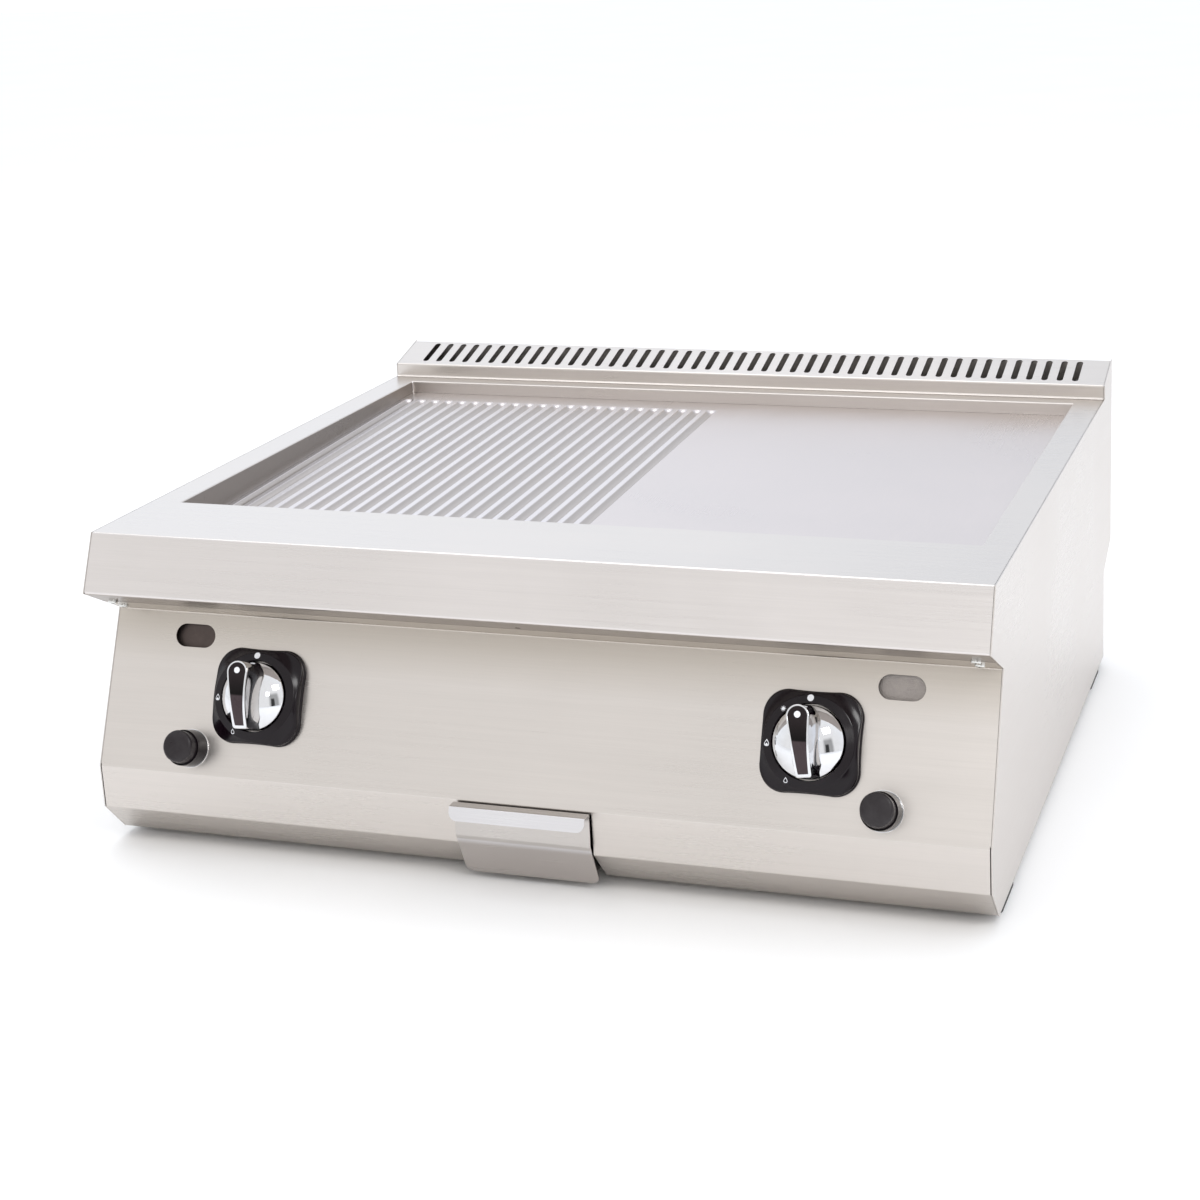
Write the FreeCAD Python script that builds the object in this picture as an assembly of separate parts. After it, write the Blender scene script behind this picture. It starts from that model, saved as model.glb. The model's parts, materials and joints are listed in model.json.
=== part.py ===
import FreeCAD, Part
import math
import os

# Countertop gas griddle, half ribbed and half smooth, with two burner zones.
# Millimetres. +X is to the right, the front faces -Y, +Z is up.
# Every piece is drawn with y measured back from the worktop's front edge and
# z measured up from the cabinet's underside, then export() moves it so that
# the origin is the centre of the footprint on the table.

# ---- overall size ----
WIDTH = 800.0
HALF = WIDTH / 2
FOOT_HEIGHT = 8.0
SHEET = 1.0
TOP_SHEET = 1.5
BEND = 1.5          # inner radius of the cabinet's bends
GAP = 0.3           # daylight between neighbouring pieces
BAND_EASE = 0.6     # more daylight between the band's ends and the cheeks

# ---- side profile of the cabinet, as (y, z) ----
TOP_Z = 280.5
LIP_TOP = (0.0, TOP_Z)
LIP_FOOT = (-22.0, 230.5)
PANEL_HEAD = (34.0, 201.0)
CREASE = (-21.5, 70.0)
BAND_FOOT = (-20.0, 31.0)
TOE = (9.5, 0.0)
BACK_LOW_Y = 653.5
NOTCH_LOW_Z = 93.0
NOTCH_HIGH_Z = 115.0
BACK_Y = 708.0
RISER_Y = 650.0
RISER_LOW_Z = 295.0
RISER_HIGH_Z = 311.0

# ---- cooking well and plate ----
WELL_X = 370.5
WELL_FRONT_Y = 106.0
WELL_BACK_Y = 626.0
PLATE_FRONT_Z = 252.0     # height of the cooking face at the well's front wall
PLATE_BACK_Z = 267.6      # and at its back wall
PLATE_THICK = 15.0
PLATE_MARGIN = 8.0        # how far the plate runs under the well walls
RIB_COUNT = 23
RIB_PITCH = 16.0
RIB_WIDTH = 11.0
RIB_DEPTH = 3.0
LAST_RIB_X = -8.5
RIB_BACK_Y = 597.0
GUTTER_Y = 124.0
GUTTER_WIDTH = 22.0
GUTTER_DEPTH = 4.0
DRAIN_R = 20.0

# ---- flue riser ----
SLOT_COUNT = 47
SLOT_PITCH = 16.0
SLOT_WIDTH = 6.6
SLOT_START = 0.14         # share of the riser's sloping top
SLOT_END = 0.87

# ---- controls, placed on the sloping panel: x across, v up from the crease ----
KNOB_X = 249.0
KNOB_V = 72.0
IGNITER_X = 311.0
IGNITER_V = 22.5
SIGHT_X = 319.5
SIGHT_V = 121.3
SIGHT_LENGTH = 39.0
SIGHT_HEIGHT = 20.5
KNOB_TURN = {"left": 3.0, "right": 7.0}

# ---- bezel, knob, spindle and tap, out along the panel's normal ----
BEZEL_HALF = 41.0
BEZEL_CORNER_R = 20.0
BEZEL_WAIST = 40.2
BEZEL_EDGE = 9.0
BEZEL_RING = 14.0
BEZEL_RING_R = 36.0
BEZEL_BORE_R = 30.6
SKIRT_R = 29.6
SKIRT_LOW = 6.0
SKIRT_HIGH = 15.0
DOME_TOP = 27.0
BAR_TOP = 47.0
BAR_HEAD_V = 28.7
BAR_TAIL_V = -27.0
BAR_HEAD_R = 9.5
BAR_TAIL_HALF = 6.6
BAR_TAIL_BULGE = 0.8
BAR_RIM = 1.5
GRIP_BACK_R = 100.0        # the grip's top falls away from its head on this radius
INSERT_DEPTH = 2.0
INSERT_SINK = 0.2          # the insert's face below the chrome rim
INSERT_GAP = 0.1
KNOB_WALL = 4.0            # of the skirt round the hollow underside
KNOB_HOLLOW = 6.0
HUB_WALL = 5.0
SPINDLE_R = 4.0
SPINDLE_FLAT = 1.2
RUNNING = 0.06            # radial clearance of a turning or sliding fit
TAP_R = 17.0
TAP_FRONT = -3.0
TAP_BACK = -52.0
PLUG_R = 10.0
PLUG_FRONT = -14.0
PLUG_BACK = -46.0
KNOB_PUSH = 4.0
TAP_MIDDLE = -34.0
TAP_SCREW_V = 18.5
TAP_OUTLET = 26.0
SPINDLE_SINK = 12.0
SPINDLE_TOP = 22.0

# ---- igniter ----
BUTTON_R = 14.7
BUTTON_TIP_R = 13.9
BUTTON_FACE = 27.0
BUTTON_EDGE = 3.0
COLLAR_R = 16.4
COLLAR_TIP_R = 15.6
COLLAR_TOP = 16.0
COLLAR_FLOOR = 0.6
RING_R = 16.9
RING_THICK = 1.0
BARREL_R = 10.0
BARREL_BACK = -46.0
BARREL_POCKET = -7.0       # depth of the pocket the button's stem moves in
TERMINAL_R = 2.5
TERMINAL_LENGTH = 7.0
STEM_R = 5.0
STEM_BACK = -16.0
STEM_BORE_BACK = -26.0
SEAT_PLAY = 0.2
BUTTON_PUSH = 6.0

# ---- drip tray ----
TRAY_X = 4.5
TRAY_FRONT_HALF = 60.5
TRAY_HALF = 55.0
TRAY_LOW_Z = 6.0
TRAY_HIGH_Z = 58.0
TRAY_BACK_Y = 560.0
CUTOUT_HALF = 61.3
CUTOUT_HIGH_Z = 67.5
HANDLE_FRONT_Y = -39.5
TRAY_PLATE_Y = -24.5

# ---- burners and gas line ----
BOX_X = 366.0
BOX_FRONT_Y = 100.0
BOX_BACK_Y = 618.0
BOX_LOW_Z = 100.0
BURNER_X = 190.0
BURNER_Z = 172.0
BRANCH_R = 15.0
BRANCH_SPREAD = 105.0
BRANCH_FRONT_Y = 160.0
BRANCH_BACK_Y = 585.0
TUBE_WALL = 1.5
PORT_COUNT = 22
RAIL_R = 10.48
RAIL_Y = 72.0
RAIL_Z = 86.0
INLET_X = 330.0
INLET_Z = 55.0
INLET_END_Y = 690.0
INLET_R = 10.48            # over the crests of the thread
THREAD_START_Y = 664.0
NUT_THICK = 8.0
PIPE_R = 9.6
PIPE_WALL = 1.8
INJECTOR_Y = 80.0
PILOT_DX = 45.0
PILOT_Y = 122.0
PILOT_Z = BURNER_Z + 22.0

# ---- screws, air slots and feet ----
LIP_SCREW_X = 384.0
LIP_SCREW_S = 0.40         # share of the band under the lip, from the lip's foot
PANEL_SCREW_S = 0.70
BACK_SCREW_X = (-240.0, -80.0, 80.0, 240.0)
BACK_SCREW_Z = 38.0
AIR_COLUMNS = 7
AIR_ROWS = 8
AIR_PITCH_X = 105.0
AIR_PITCH_Y = 60.0
AIR_LENGTH = 70.0
AIR_WIDTH = 14.0
AIR_FIRST_Y = 130.0
FOOT_WIDTH = 58.8
FOOT_LENGTH = 66.0
FOOT_CORNER = 8.0
FOOT_BORE_R = 3.0
FOOT_COUNTERBORE_R = 7.0
FOOT_X = 369.0
FOOT_Y = (60.5, 598.0)
FOOT_SEAT = 3.4            # rubber left above the screw's head

SIDES = {"left": -1, "right": 1}

# ---- worked out from the above ----
PANEL_LEAN = math.degrees(math.atan2(PANEL_HEAD[0] - CREASE[0], PANEL_HEAD[1] - CREASE[1]))
SEAM = tuple((a + b) / 2 for a, b in zip(LIP_FOOT, PANEL_HEAD))
PLATE_SLOPE = (PLATE_BACK_Z - PLATE_FRONT_Z) / (WELL_BACK_Y - WELL_FRONT_Y)
INNER = HALF - SHEET - GAP

X = FreeCAD.Vector(1, 0, 0)
Y = FreeCAD.Vector(0, 1, 0)
Z = FreeCAD.Vector(0, 0, 1)


def vec(x, y, z):
    return FreeCAD.Vector(x, y, z)


def plate_z(y):
    """Height of the sloping cooking face."""
    return PLATE_FRONT_Z + PLATE_SLOPE * (y - WELL_FRONT_Y)


def moved(shape, offset):
    copy = shape.copy()
    copy.translate(offset)
    return copy


def export(name, *shapes):
    """Write one named piece, or a group of identical pieces, in the final frame."""
    shape = shapes[0] if len(shapes) == 1 else Part.makeCompound(list(shapes))
    moved(shape, ORIGIN).exportStep("parts/%s.step" % name)


def box(x0, x1, y0, y1, z0, z1):
    return Part.makeBox(x1 - x0, y1 - y0, z1 - z0, vec(x0, y0, z0))


def rod(start, end, radius):
    """Round bar between two points."""
    line = end - start
    return Part.makeCylinder(radius, line.Length, start, line)


def pipe_between(start, end, radius, wall):
    """Open-ended round tube between two points."""
    return rod(start, end, radius).cut(rod(start, end, radius - wall))


def prism(outline, x0, x1):
    """Solid with a straight-sided (y, z) outline, from x0 to x1."""
    points = [vec(x0, y, z) for y, z in outline]
    face = Part.Face(Part.makePolygon(points + points[:1]))
    return face.extrude(vec(x1 - x0, 0, 0))


def bent_sheet(path, thickness, side, x0, x1, bend=BEND):
    """Sheet folded along a (y, z) path of its show face.

    side is +1 when the metal lies to the left of the path and -1 to the right.
    """
    points = [vec(x0, y, z) for y, z in path]
    runs = [(b - a).normalize() for a, b in zip(points, points[1:])]
    normals = [vec(0, -d.z, d.y) * side for d in runs]
    front, back = [], []
    front_at, back_at = points[0], points[0] + normals[0] * thickness
    first = (front_at, back_at)
    for corner, d0, d1, n0, n1 in zip(points[1:], runs, runs[1:], normals, normals[1:]):
        inward = 1 if d1.dot(n0) > 0 else -1
        r_front = bend + thickness if inward > 0 else bend
        r_back = r_front - inward * thickness
        reach = r_front * math.tan(d0.getAngle(d1) / 2)
        centre = corner - d0 * reach + n0 * (inward * r_front)
        middle = (corner - centre).normalize()
        for edges, at, radius in ((front, front_at, r_front), (back, back_at, r_back)):
            start = centre - n0 * (inward * radius)
            end = centre - n1 * (inward * radius)
            edges.append(Part.makeLine(at, start))
            edges.append(Part.Arc(start, centre + middle * radius, end).toShape())
        front_at = centre - n1 * (inward * r_front)
        back_at = centre - n1 * (inward * r_back)
    last_front = points[-1]
    last_back = points[-1] + normals[-1] * thickness
    front.append(Part.makeLine(front_at, last_front))
    back.append(Part.makeLine(back_at, last_back))
    ends = [Part.makeLine(*first), Part.makeLine(last_front, last_back)]
    wire = Part.Wire(Part.__sortEdges__(front + back + ends))
    return Part.Face(wire).extrude(vec(x1 - x0, 0, 0))


def rounded_route(points, radius):
    """Wire of straight runs joined by tangent arcs."""
    edges = []
    at = points[0]
    for before, corner, after in zip(points, points[1:], points[2:]):
        d0 = (corner - before).normalize()
        d1 = (after - corner).normalize()
        turn = d0.getAngle(d1)
        reach = radius * math.tan(turn / 2)
        start = corner - d0 * reach
        end = corner + d1 * reach
        centre = corner + (d1 - d0).normalize() * (radius / math.cos(turn / 2))
        middle = centre + (corner - centre).normalize() * radius
        edges.append(Part.makeLine(at, start))
        edges.append(Part.Arc(start, middle, end).toShape())
        at = end
    edges.append(Part.makeLine(at, points[-1]))
    return Part.Wire(edges)


def tube_along(points, radius, bend, wall=0.0):
    """Bent rod, or a bent tube when a wall is given."""
    route = rounded_route(points, bend)
    heading = points[1] - points[0]
    outer = Part.Wire(Part.makeCircle(radius, points[0], heading))
    solid = route.makePipeShell([outer], True, False)
    if wall:
        inner = Part.Wire(Part.makeCircle(radius - wall, points[0], heading))
        solid = solid.cut(route.makePipeShell([inner], True, False))
    return solid


def stadium(length, height, depth, base):
    """Long hole's shape, lying along X in the XY plane, from base upwards."""
    r = height / 2
    half = length / 2 - r
    middle = Part.makeBox(2 * half, height, depth, vec(-half, -r, base))
    ends = [Part.makeCylinder(r, depth, vec(s * half, 0, base)) for s in (-1, 1)]
    return middle.fuse(ends).removeSplitter()


def on_panel(shape, x, v, turn=0.0):
    """Stand a shape drawn on the XY plane on the sloping panel, +Z outwards."""
    lean = math.radians(PANEL_LEAN)
    seat = vec(x, CREASE[0] + v * math.sin(lean), CREASE[1] + v * math.cos(lean))
    placed = shape.copy()
    placed.rotate(vec(0, 0, 0), Z, turn)
    placed.rotate(vec(0, 0, 0), X, 90 - PANEL_LEAN)
    placed.translate(seat)
    return placed


def panel_point(x, v, w):
    """Point in the drawing frame that is w out from the sloping panel."""
    lean = math.radians(PANEL_LEAN)
    up = vec(0, math.sin(lean), math.cos(lean))
    out = vec(0, -math.cos(lean), math.sin(lean))
    return vec(x, CREASE[0], CREASE[1]) + up * v + out * w


def pan_screw(head_r, head_h, shank_r, shank_l):
    """Pan-head cross-recess screw: head above the XY plane, shank below it."""
    head = Part.makeCylinder(head_r, head_h)
    head = head.makeFillet(head_h * 0.45, [head.Edges[0]])
    arm = head_r * 0.55
    for half_x, half_y in ((arm, head_r * 0.13), (head_r * 0.13, arm)):
        slot = Part.makeBox(2 * half_x, 2 * half_y, head_h, vec(-half_x, -half_y, head_h * 0.4))
        head = head.cut(slot)
    return head.fuse(Part.makeCylinder(shank_r, shank_l, vec(0, 0, -shank_l))).removeSplitter()


def hexagon(across_flats, height, base=0.0):
    r = across_flats / math.sqrt(3)
    points = [vec(r * math.cos(math.radians(a)), r * math.sin(math.radians(a)), base)
              for a in range(0, 360, 60)]
    return Part.Face(Part.makePolygon(points + points[:1])).extrude(vec(0, 0, height))


# ---------------------------------------------------------------- cabinet

def cabinet_profile():
    return [LIP_TOP, LIP_FOOT, PANEL_HEAD, CREASE, BAND_FOOT, TOE, (BACK_LOW_Y, 0.0),
            (BACK_LOW_Y, NOTCH_LOW_Z), (BACK_Y, NOTCH_HIGH_Z), (BACK_Y, RISER_HIGH_Z),
            (RISER_Y, RISER_LOW_Z), (RISER_Y, TOP_Z)]


def side_panel(sign):
    """Flat cheek with the whole side outline and an inward foot flange."""
    cheek = prism(cabinet_profile(), HALF - SHEET, HALF)
    flange = box(HALF - 26.0, HALF - SHEET / 2, 14.0, BACK_LOW_Y - 2.0, 0.0, SHEET)
    rear_y = BACK_LOW_Y - SHEET - 0.1
    rear = box(HALF - 20.0, HALF - SHEET / 2, rear_y - SHEET, rear_y, SHEET / 2, NOTCH_LOW_Z)
    panel = cheek.fuse([flange, rear]).removeSplitter()
    return panel if sign > 0 else panel.mirror(vec(0, 0, 0), X)


def worktop():
    """Top sheet with its slanting front lip and the welded walls of the well."""
    hem_y = RISER_Y - GAP
    path = [SEAM, LIP_FOOT, LIP_TOP, (hem_y, TOP_Z), (hem_y, TOP_Z - 16.0)]
    sheet = bent_sheet(path, TOP_SHEET, -1, -INNER, INNER, bend=BEND)
    low = PLATE_FRONT_Z - 5.0
    opening = box(-WELL_X, WELL_X, WELL_FRONT_Y, WELL_BACK_Y, low, TOP_Z + 5.0)
    ring = box(-WELL_X - TOP_SHEET, WELL_X + TOP_SHEET, WELL_FRONT_Y - TOP_SHEET,
               WELL_BACK_Y + TOP_SHEET, low, TOP_Z)
    body = sheet.fuse(ring).cut(opening)
    under = prism([(0.0, 0.0), (0.0, plate_z(0.0)), (BACK_Y, plate_z(BACK_Y)), (BACK_Y, 0.0)],
                  -WELL_X - 10.0, WELL_X + 10.0)
    keep = box(-HALF, HALF, -50.0, WELL_FRONT_Y - 20.0, 0.0, TOP_Z)
    body = body.cut(under.cut(keep)).removeSplitter()
    body = body.makeFillet(TOP_SHEET * 0.8, well_rim(body))
    for x, point in lip_screw_seats():
        if point == "lip":
            body = body.cut(on_band(Part.makeCylinder(2.3, 10.0, vec(0, 0, -5)), x, LIP_SCREW_S))
    return body.cut(on_band(Part.makeCylinder(2.5, 10.0, vec(0, 0, -5)), 0.0, LIP_SCREW_S))


def well_rim(body):
    """The four straight upper edges of the well."""
    found = []
    for edge in body.Edges:
        b = edge.BoundBox
        inside = b.XMin > -WELL_X - 0.01 and b.XMax < WELL_X + 0.01
        within = b.YMin > WELL_FRONT_Y - 0.01 and b.YMax < WELL_BACK_Y + 0.01
        if inside and within and b.ZMin > TOP_Z - 0.01:
            found.append(edge)
    return found


def lip_screw_seats():
    return [(sign * LIP_SCREW_X, which) for sign in (-1, 1) for which in ("lip", "panel")]


def on_band(shape, x, share):
    """Place a shape on the band under the lip, with +Z pointing down and forwards."""
    dy = PANEL_HEAD[0] - LIP_FOOT[0]
    dz = PANEL_HEAD[1] - LIP_FOOT[1]
    tilt = math.degrees(math.atan2(-dz, dy))
    placed = shape.copy()
    placed.rotate(vec(0, 0, 0), X, 180 - tilt)
    placed.translate(vec(x, LIP_FOOT[0] + dy * share, LIP_FOOT[1] + dz * share))
    return placed


def lip_screws():
    screw = pan_screw(4.2, 3.0, 2.0, 9.0)
    return [on_band(screw, x, LIP_SCREW_S if which == "lip" else PANEL_SCREW_S)
            for x, which in lip_screw_seats()]


def control_panel():
    """Sloping fascia, lower band and toe, folded from one sheet."""
    start = tuple(s + 0.04 * (h - s) for s, h in zip(SEAM, PANEL_HEAD))
    path = [start, PANEL_HEAD, CREASE, BAND_FOOT, TOE, (76.0, 0.0)]
    panel = bent_sheet(path, SHEET, 1, -INNER, INNER)
    panel = panel.cut(box(TRAY_X - CUTOUT_HALF, TRAY_X + CUTOUT_HALF, -40.0, 80.0,
                          -5.0, CUTOUT_HIGH_Z))
    panel = panel.cut(box(-INNER - 1, -HALF + 27.0, 12.0, 80.0, -1.0, 2.0))
    panel = panel.cut(box(HALF - 27.0, INNER + 1, 12.0, 80.0, -1.0, 2.0))
    for low, high in ((-INNER - 1.0, BAND_EASE - INNER), (INNER - BAND_EASE, INNER + 1.0)):
        panel = panel.cut(box(low, high, CREASE[0] - 5.0, BAND_FOOT[0] + 5.0, BAND_FOOT[1], CREASE[1] + 2.0))
    holes = foot_holes()
    for sign in SIDES.values():
        spindle_hole = Part.makeCylinder(7.0, 20.0, vec(0, 0, -10))
        barrel_hole = Part.makeCylinder(BARREL_R + GAP, 20.0, vec(0, 0, -10))
        sight = stadium(SIGHT_LENGTH, SIGHT_HEIGHT, 20.0, -10.0)
        holes.append(on_panel(spindle_hole, sign * KNOB_X, KNOB_V))
        holes.append(on_panel(barrel_hole, sign * IGNITER_X, IGNITER_V))
        holes.append(on_panel(sight, sign * SIGHT_X, SIGHT_V))
        for v in (-TAP_SCREW_V, TAP_SCREW_V):
            screw_hole = Part.makeCylinder(2.3, 20.0, vec(0, 0, -10))
            holes.append(on_panel(screw_hole, sign * KNOB_X, KNOB_V + v))
        screw = Part.makeCylinder(2.3, 10.0, vec(0, 0, -5))
        holes.append(on_band(screw, sign * LIP_SCREW_X, PANEL_SCREW_S))
    return panel.cut(Part.makeCompound(holes))


def base_panel():
    """Floor of the cabinet, with air openings under the burners."""
    z0 = SHEET + 0.1
    floor = box(-INNER + 4, INNER - 4, 64.0, BACK_LOW_Y - 4.0, z0, z0 + SHEET)
    vents = []
    for column in range(AIR_COLUMNS):
        for row in range(AIR_ROWS):
            x = (column - (AIR_COLUMNS - 1) / 2) * AIR_PITCH_X
            if abs(x - TRAY_X) < TRAY_HALF + 30.0:
                continue
            vent = stadium(AIR_LENGTH, AIR_WIDTH, 4.0, 0.0)
            vent.translate(vec(x, AIR_FIRST_Y + row * AIR_PITCH_Y, z0 - 1.5))
            vents.append(vent)
    upstand = box(-INNER + 4, INNER - 4, BACK_LOW_Y - 5.0, BACK_LOW_Y - 4.0, z0, 24.0)
    return floor.fuse(upstand).removeSplitter().cut(Part.makeCompound(vents + foot_holes()))


def back_panel():
    """Rear sheet that follows the notch for the gas connection."""
    path = [(BACK_LOW_Y - 16.0, 26.0), (BACK_LOW_Y, 26.0), (BACK_LOW_Y, NOTCH_LOW_Z),
            (BACK_Y, NOTCH_HIGH_Z), (BACK_Y, RISER_HIGH_Z - 3.0)]
    panel = bent_sheet(path, SHEET, 1, -INNER, INNER)
    hole = Part.makeCylinder(INLET_R + 3.0, 40.0, vec(INLET_X, BACK_LOW_Y - 20.0, INLET_Z), Y)
    screws = [Part.makeCylinder(2.3, 20.0, vec(x, BACK_LOW_Y - 8.0, BACK_SCREW_Z), Y)
              for x in BACK_SCREW_X]
    notches = [box(s * (HALF - 10.5) - 10.5, s * (HALF - 10.5) + 10.5, BACK_LOW_Y - 18.0,
                   BACK_LOW_Y - SHEET - 0.1, 20.0, 28.0) for s in (-1, 1)]
    return panel.cut(Part.makeCompound([hole] + screws + notches))


def flue_riser():
    """Raised rear cover with the row of exhaust slots in its sloping top."""
    hem = (RISER_Y - 2.0, TOP_Z + 0.2)
    foot = (RISER_Y, TOP_Z + 1.6)
    path = [hem, foot, (RISER_Y, RISER_LOW_Z), (BACK_Y - SHEET - GAP, RISER_HIGH_Z - 0.4),
            (BACK_Y - SHEET - GAP, RISER_HIGH_Z - 18.0)]
    cover = bent_sheet(path, SHEET, -1, -INNER, INNER, bend=1.0)
    run = BACK_Y - RISER_Y
    rise = RISER_HIGH_Z - RISER_LOW_Z
    tilt = math.degrees(math.atan2(rise, run))
    slope = math.hypot(run, rise)
    length = slope * (SLOT_END - SLOT_START)
    middle = (SLOT_START + SLOT_END) / 2
    slots = []
    for i in range(SLOT_COUNT):
        slot = stadium(length, SLOT_WIDTH, 12.0, -6.0)
        slot.rotate(vec(0, 0, 0), Z, 90)
        slot.rotate(vec(0, 0, 0), X, tilt)
        x = (i - (SLOT_COUNT - 1) / 2) * SLOT_PITCH
        slot.translate(vec(x, RISER_Y + run * middle, RISER_LOW_Z + rise * middle))
        slots.append(slot)
    return cover.cut(Part.makeCompound(slots))


def flue_duct():
    """Trough behind the burner box that leads the fumes up to the riser."""
    y0 = BOX_BACK_Y + GAP
    path = [(y0 + 8.0, 120.0), (BACK_Y - 12.0, 130.0), (BACK_Y - 12.0, RISER_HIGH_Z - 22.0)]
    trough = bent_sheet(path, SHEET, 1, -BOX_X, BOX_X)
    back = BACK_Y - 12.0 - GAP
    under_plate = plate_z(BOX_BACK_Y) - PLATE_THICK - 1.0
    outline = [(y0, 132.0), (y0, under_plate), (RISER_Y + 1.0, under_plate),
               (RISER_Y + 1.0, RISER_LOW_Z - 4.0), (back, RISER_LOW_Z - 4.0), (back, 132.0)]
    ends = [prism(outline, x, x + SHEET) for x in (-BOX_X, BOX_X - SHEET)]
    return trough.fuse(ends).removeSplitter()


# ---------------------------------------------------------------- cooking plate

def griddle_plate():
    """Thick sloping plate: ribbed left half, smooth right half, gutter and drain."""
    y0 = WELL_FRONT_Y - PLATE_MARGIN
    y1 = WELL_BACK_Y + PLATE_MARGIN
    drop = 0.1
    outline = [(y0, plate_z(y0) - drop), (y1, plate_z(y1) - drop),
               (y1, plate_z(y1) - PLATE_THICK), (y0, plate_z(y0) - PLATE_THICK)]
    plate = prism(outline, -WELL_X - PLATE_MARGIN, WELL_X + PLATE_MARGIN)
    cutter_r = (RIB_WIDTH ** 2 / 4 + RIB_DEPTH ** 2) / (2 * RIB_DEPTH)
    lift = cutter_r - RIB_DEPTH
    end_y = RIB_BACK_Y - RIB_WIDTH / 2
    cutters = []
    for i in range(RIB_COUNT):
        x = LAST_RIB_X - i * RIB_PITCH
        start = vec(x, GUTTER_Y, plate_z(GUTTER_Y) + lift)
        end = vec(x, end_y, plate_z(end_y) + lift)
        cutters.append(rod(start, end, cutter_r).fuse(Part.makeSphere(cutter_r, end)))
    gutter_x = WELL_X - 6.0
    gutter = box(-gutter_x, gutter_x, GUTTER_Y - GUTTER_WIDTH / 2, GUTTER_Y + GUTTER_WIDTH / 2,
                 plate_z(GUTTER_Y) - GUTTER_DEPTH, plate_z(GUTTER_Y) + 10.0)
    drain = Part.makeCylinder(DRAIN_R, 40.0, vec(TRAY_X, GUTTER_Y, PLATE_FRONT_Z - 30.0))
    for cutter in cutters:
        plate = plate.cut(cutter)
    return plate.cut(gutter).cut(drain)


def drain_spout():
    """Pipe under the drain hole that drops the fat into the tray."""
    top = plate_z(GUTTER_Y - DRAIN_R - 4.0) - PLATE_THICK - GAP
    spout = pipe_between(vec(TRAY_X, GUTTER_Y, TRAY_HIGH_Z + 6.0), vec(TRAY_X, GUTTER_Y, top),
                         DRAIN_R + 2.0, 2.0)
    flange = pipe_between(vec(TRAY_X, GUTTER_Y, top - 3.0), vec(TRAY_X, GUTTER_Y, top),
                          DRAIN_R + 8.0, 8.0)
    return spout.fuse(flange).removeSplitter()


# ---------------------------------------------------------------- drip tray

def drip_tray():
    """Long drawer that catches the fat."""
    x0 = TRAY_X - TRAY_HALF
    x1 = TRAY_X + TRAY_HALF
    front = TRAY_PLATE_Y + SHEET + 0.1
    outer = box(x0, x1, front, TRAY_BACK_Y, TRAY_LOW_Z, TRAY_HIGH_Z)
    chamfer = prism([(front - 1, TRAY_LOW_Z - 1), (front - 1, 43.5), (front, 41.5),
                     (front + 18.5, TRAY_LOW_Z - 1)], x0 - 1, x1 + 1)
    outer = outer.cut(chamfer)
    inner = box(x0 + SHEET, x1 - SHEET, front + SHEET, TRAY_BACK_Y - SHEET,
                TRAY_LOW_Z + SHEET, TRAY_HIGH_Z + 1)
    inner_chamfer = chamfer.copy()
    inner_chamfer.translate(vec(0, SHEET, SHEET))
    shell = outer.cut(inner.cut(inner_chamfer))
    lips = [box(x0 - 4.0, x0 + 0.5, 40.0, TRAY_BACK_Y, TRAY_HIGH_Z - SHEET, TRAY_HIGH_Z),
            box(x1 - 0.5, x1 + 4.0, 40.0, TRAY_BACK_Y, TRAY_HIGH_Z - SHEET, TRAY_HIGH_Z)]
    return shell.fuse(lips).removeSplitter()


def tray_front():
    """Folded front of the tray: hooked finger grip, face and sloping skirt."""
    path = [(HANDLE_FRONT_Y, 58.5), (HANDLE_FRONT_Y + 3.5, 70.0), (TRAY_PLATE_Y, 70.0),
            (TRAY_PLATE_Y, 40.0), (-4.5, -1.0)]
    x0 = TRAY_X - TRAY_FRONT_HALF
    x1 = TRAY_X + TRAY_FRONT_HALF
    front = bent_sheet(path, SHEET, -1, x0, x1, bend=1.0)
    front = round_lower_corners(front, x0, x1, HANDLE_FRONT_Y - 1.0, -30.0, 58.5, 7.0)
    return round_lower_corners(front, x0, x1, -27.0, 5.0, -1.0, 7.0)


def round_lower_corners(sheet, x0, x1, y0, y1, z_low, r):
    """Round the two bottom corners of a sheet that faces the front."""
    for x, sign in ((x0, 1), (x1, -1)):
        square = box(min(x, x + sign * r) - (1 if sign > 0 else 0),
                     max(x, x + sign * r) + (0 if sign > 0 else 1), y0, y1, z_low - 3.0, z_low + r)
        disc = Part.makeCylinder(r, y1 - y0 + 2.0, vec(x + sign * r, y0 - 1.0, z_low + r), Y)
        sheet = sheet.cut(square.cut(disc))
    return sheet


def tray_rail(sign):
    """Angle that guides and carries one edge of the tray."""
    edge = TRAY_X + sign * (TRAY_HALF + 5.0)
    low_z = 2 * SHEET + 0.3
    if sign > 0:
        path_x = (edge, edge + SHEET, edge - 12.0)
    else:
        path_x = (edge - SHEET, edge, edge + 12.0)
    wall = box(path_x[0], path_x[1], 66.0, TRAY_BACK_Y + 8.0, low_z, TRAY_HIGH_Z - SHEET - GAP)
    shelf = box(min(path_x[0], path_x[2]), max(path_x[1], path_x[2]), 66.0, TRAY_BACK_Y + 8.0,
                low_z, TRAY_LOW_Z - GAP)
    stop_x = sorted((edge - sign * 12.0, edge))
    stop = box(stop_x[0], stop_x[1], TRAY_BACK_Y + GAP, TRAY_BACK_Y + 8.0, low_z, 30.0)
    return wall.fuse([shelf, stop]).removeSplitter()


# ---------------------------------------------------------------- burners

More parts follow.
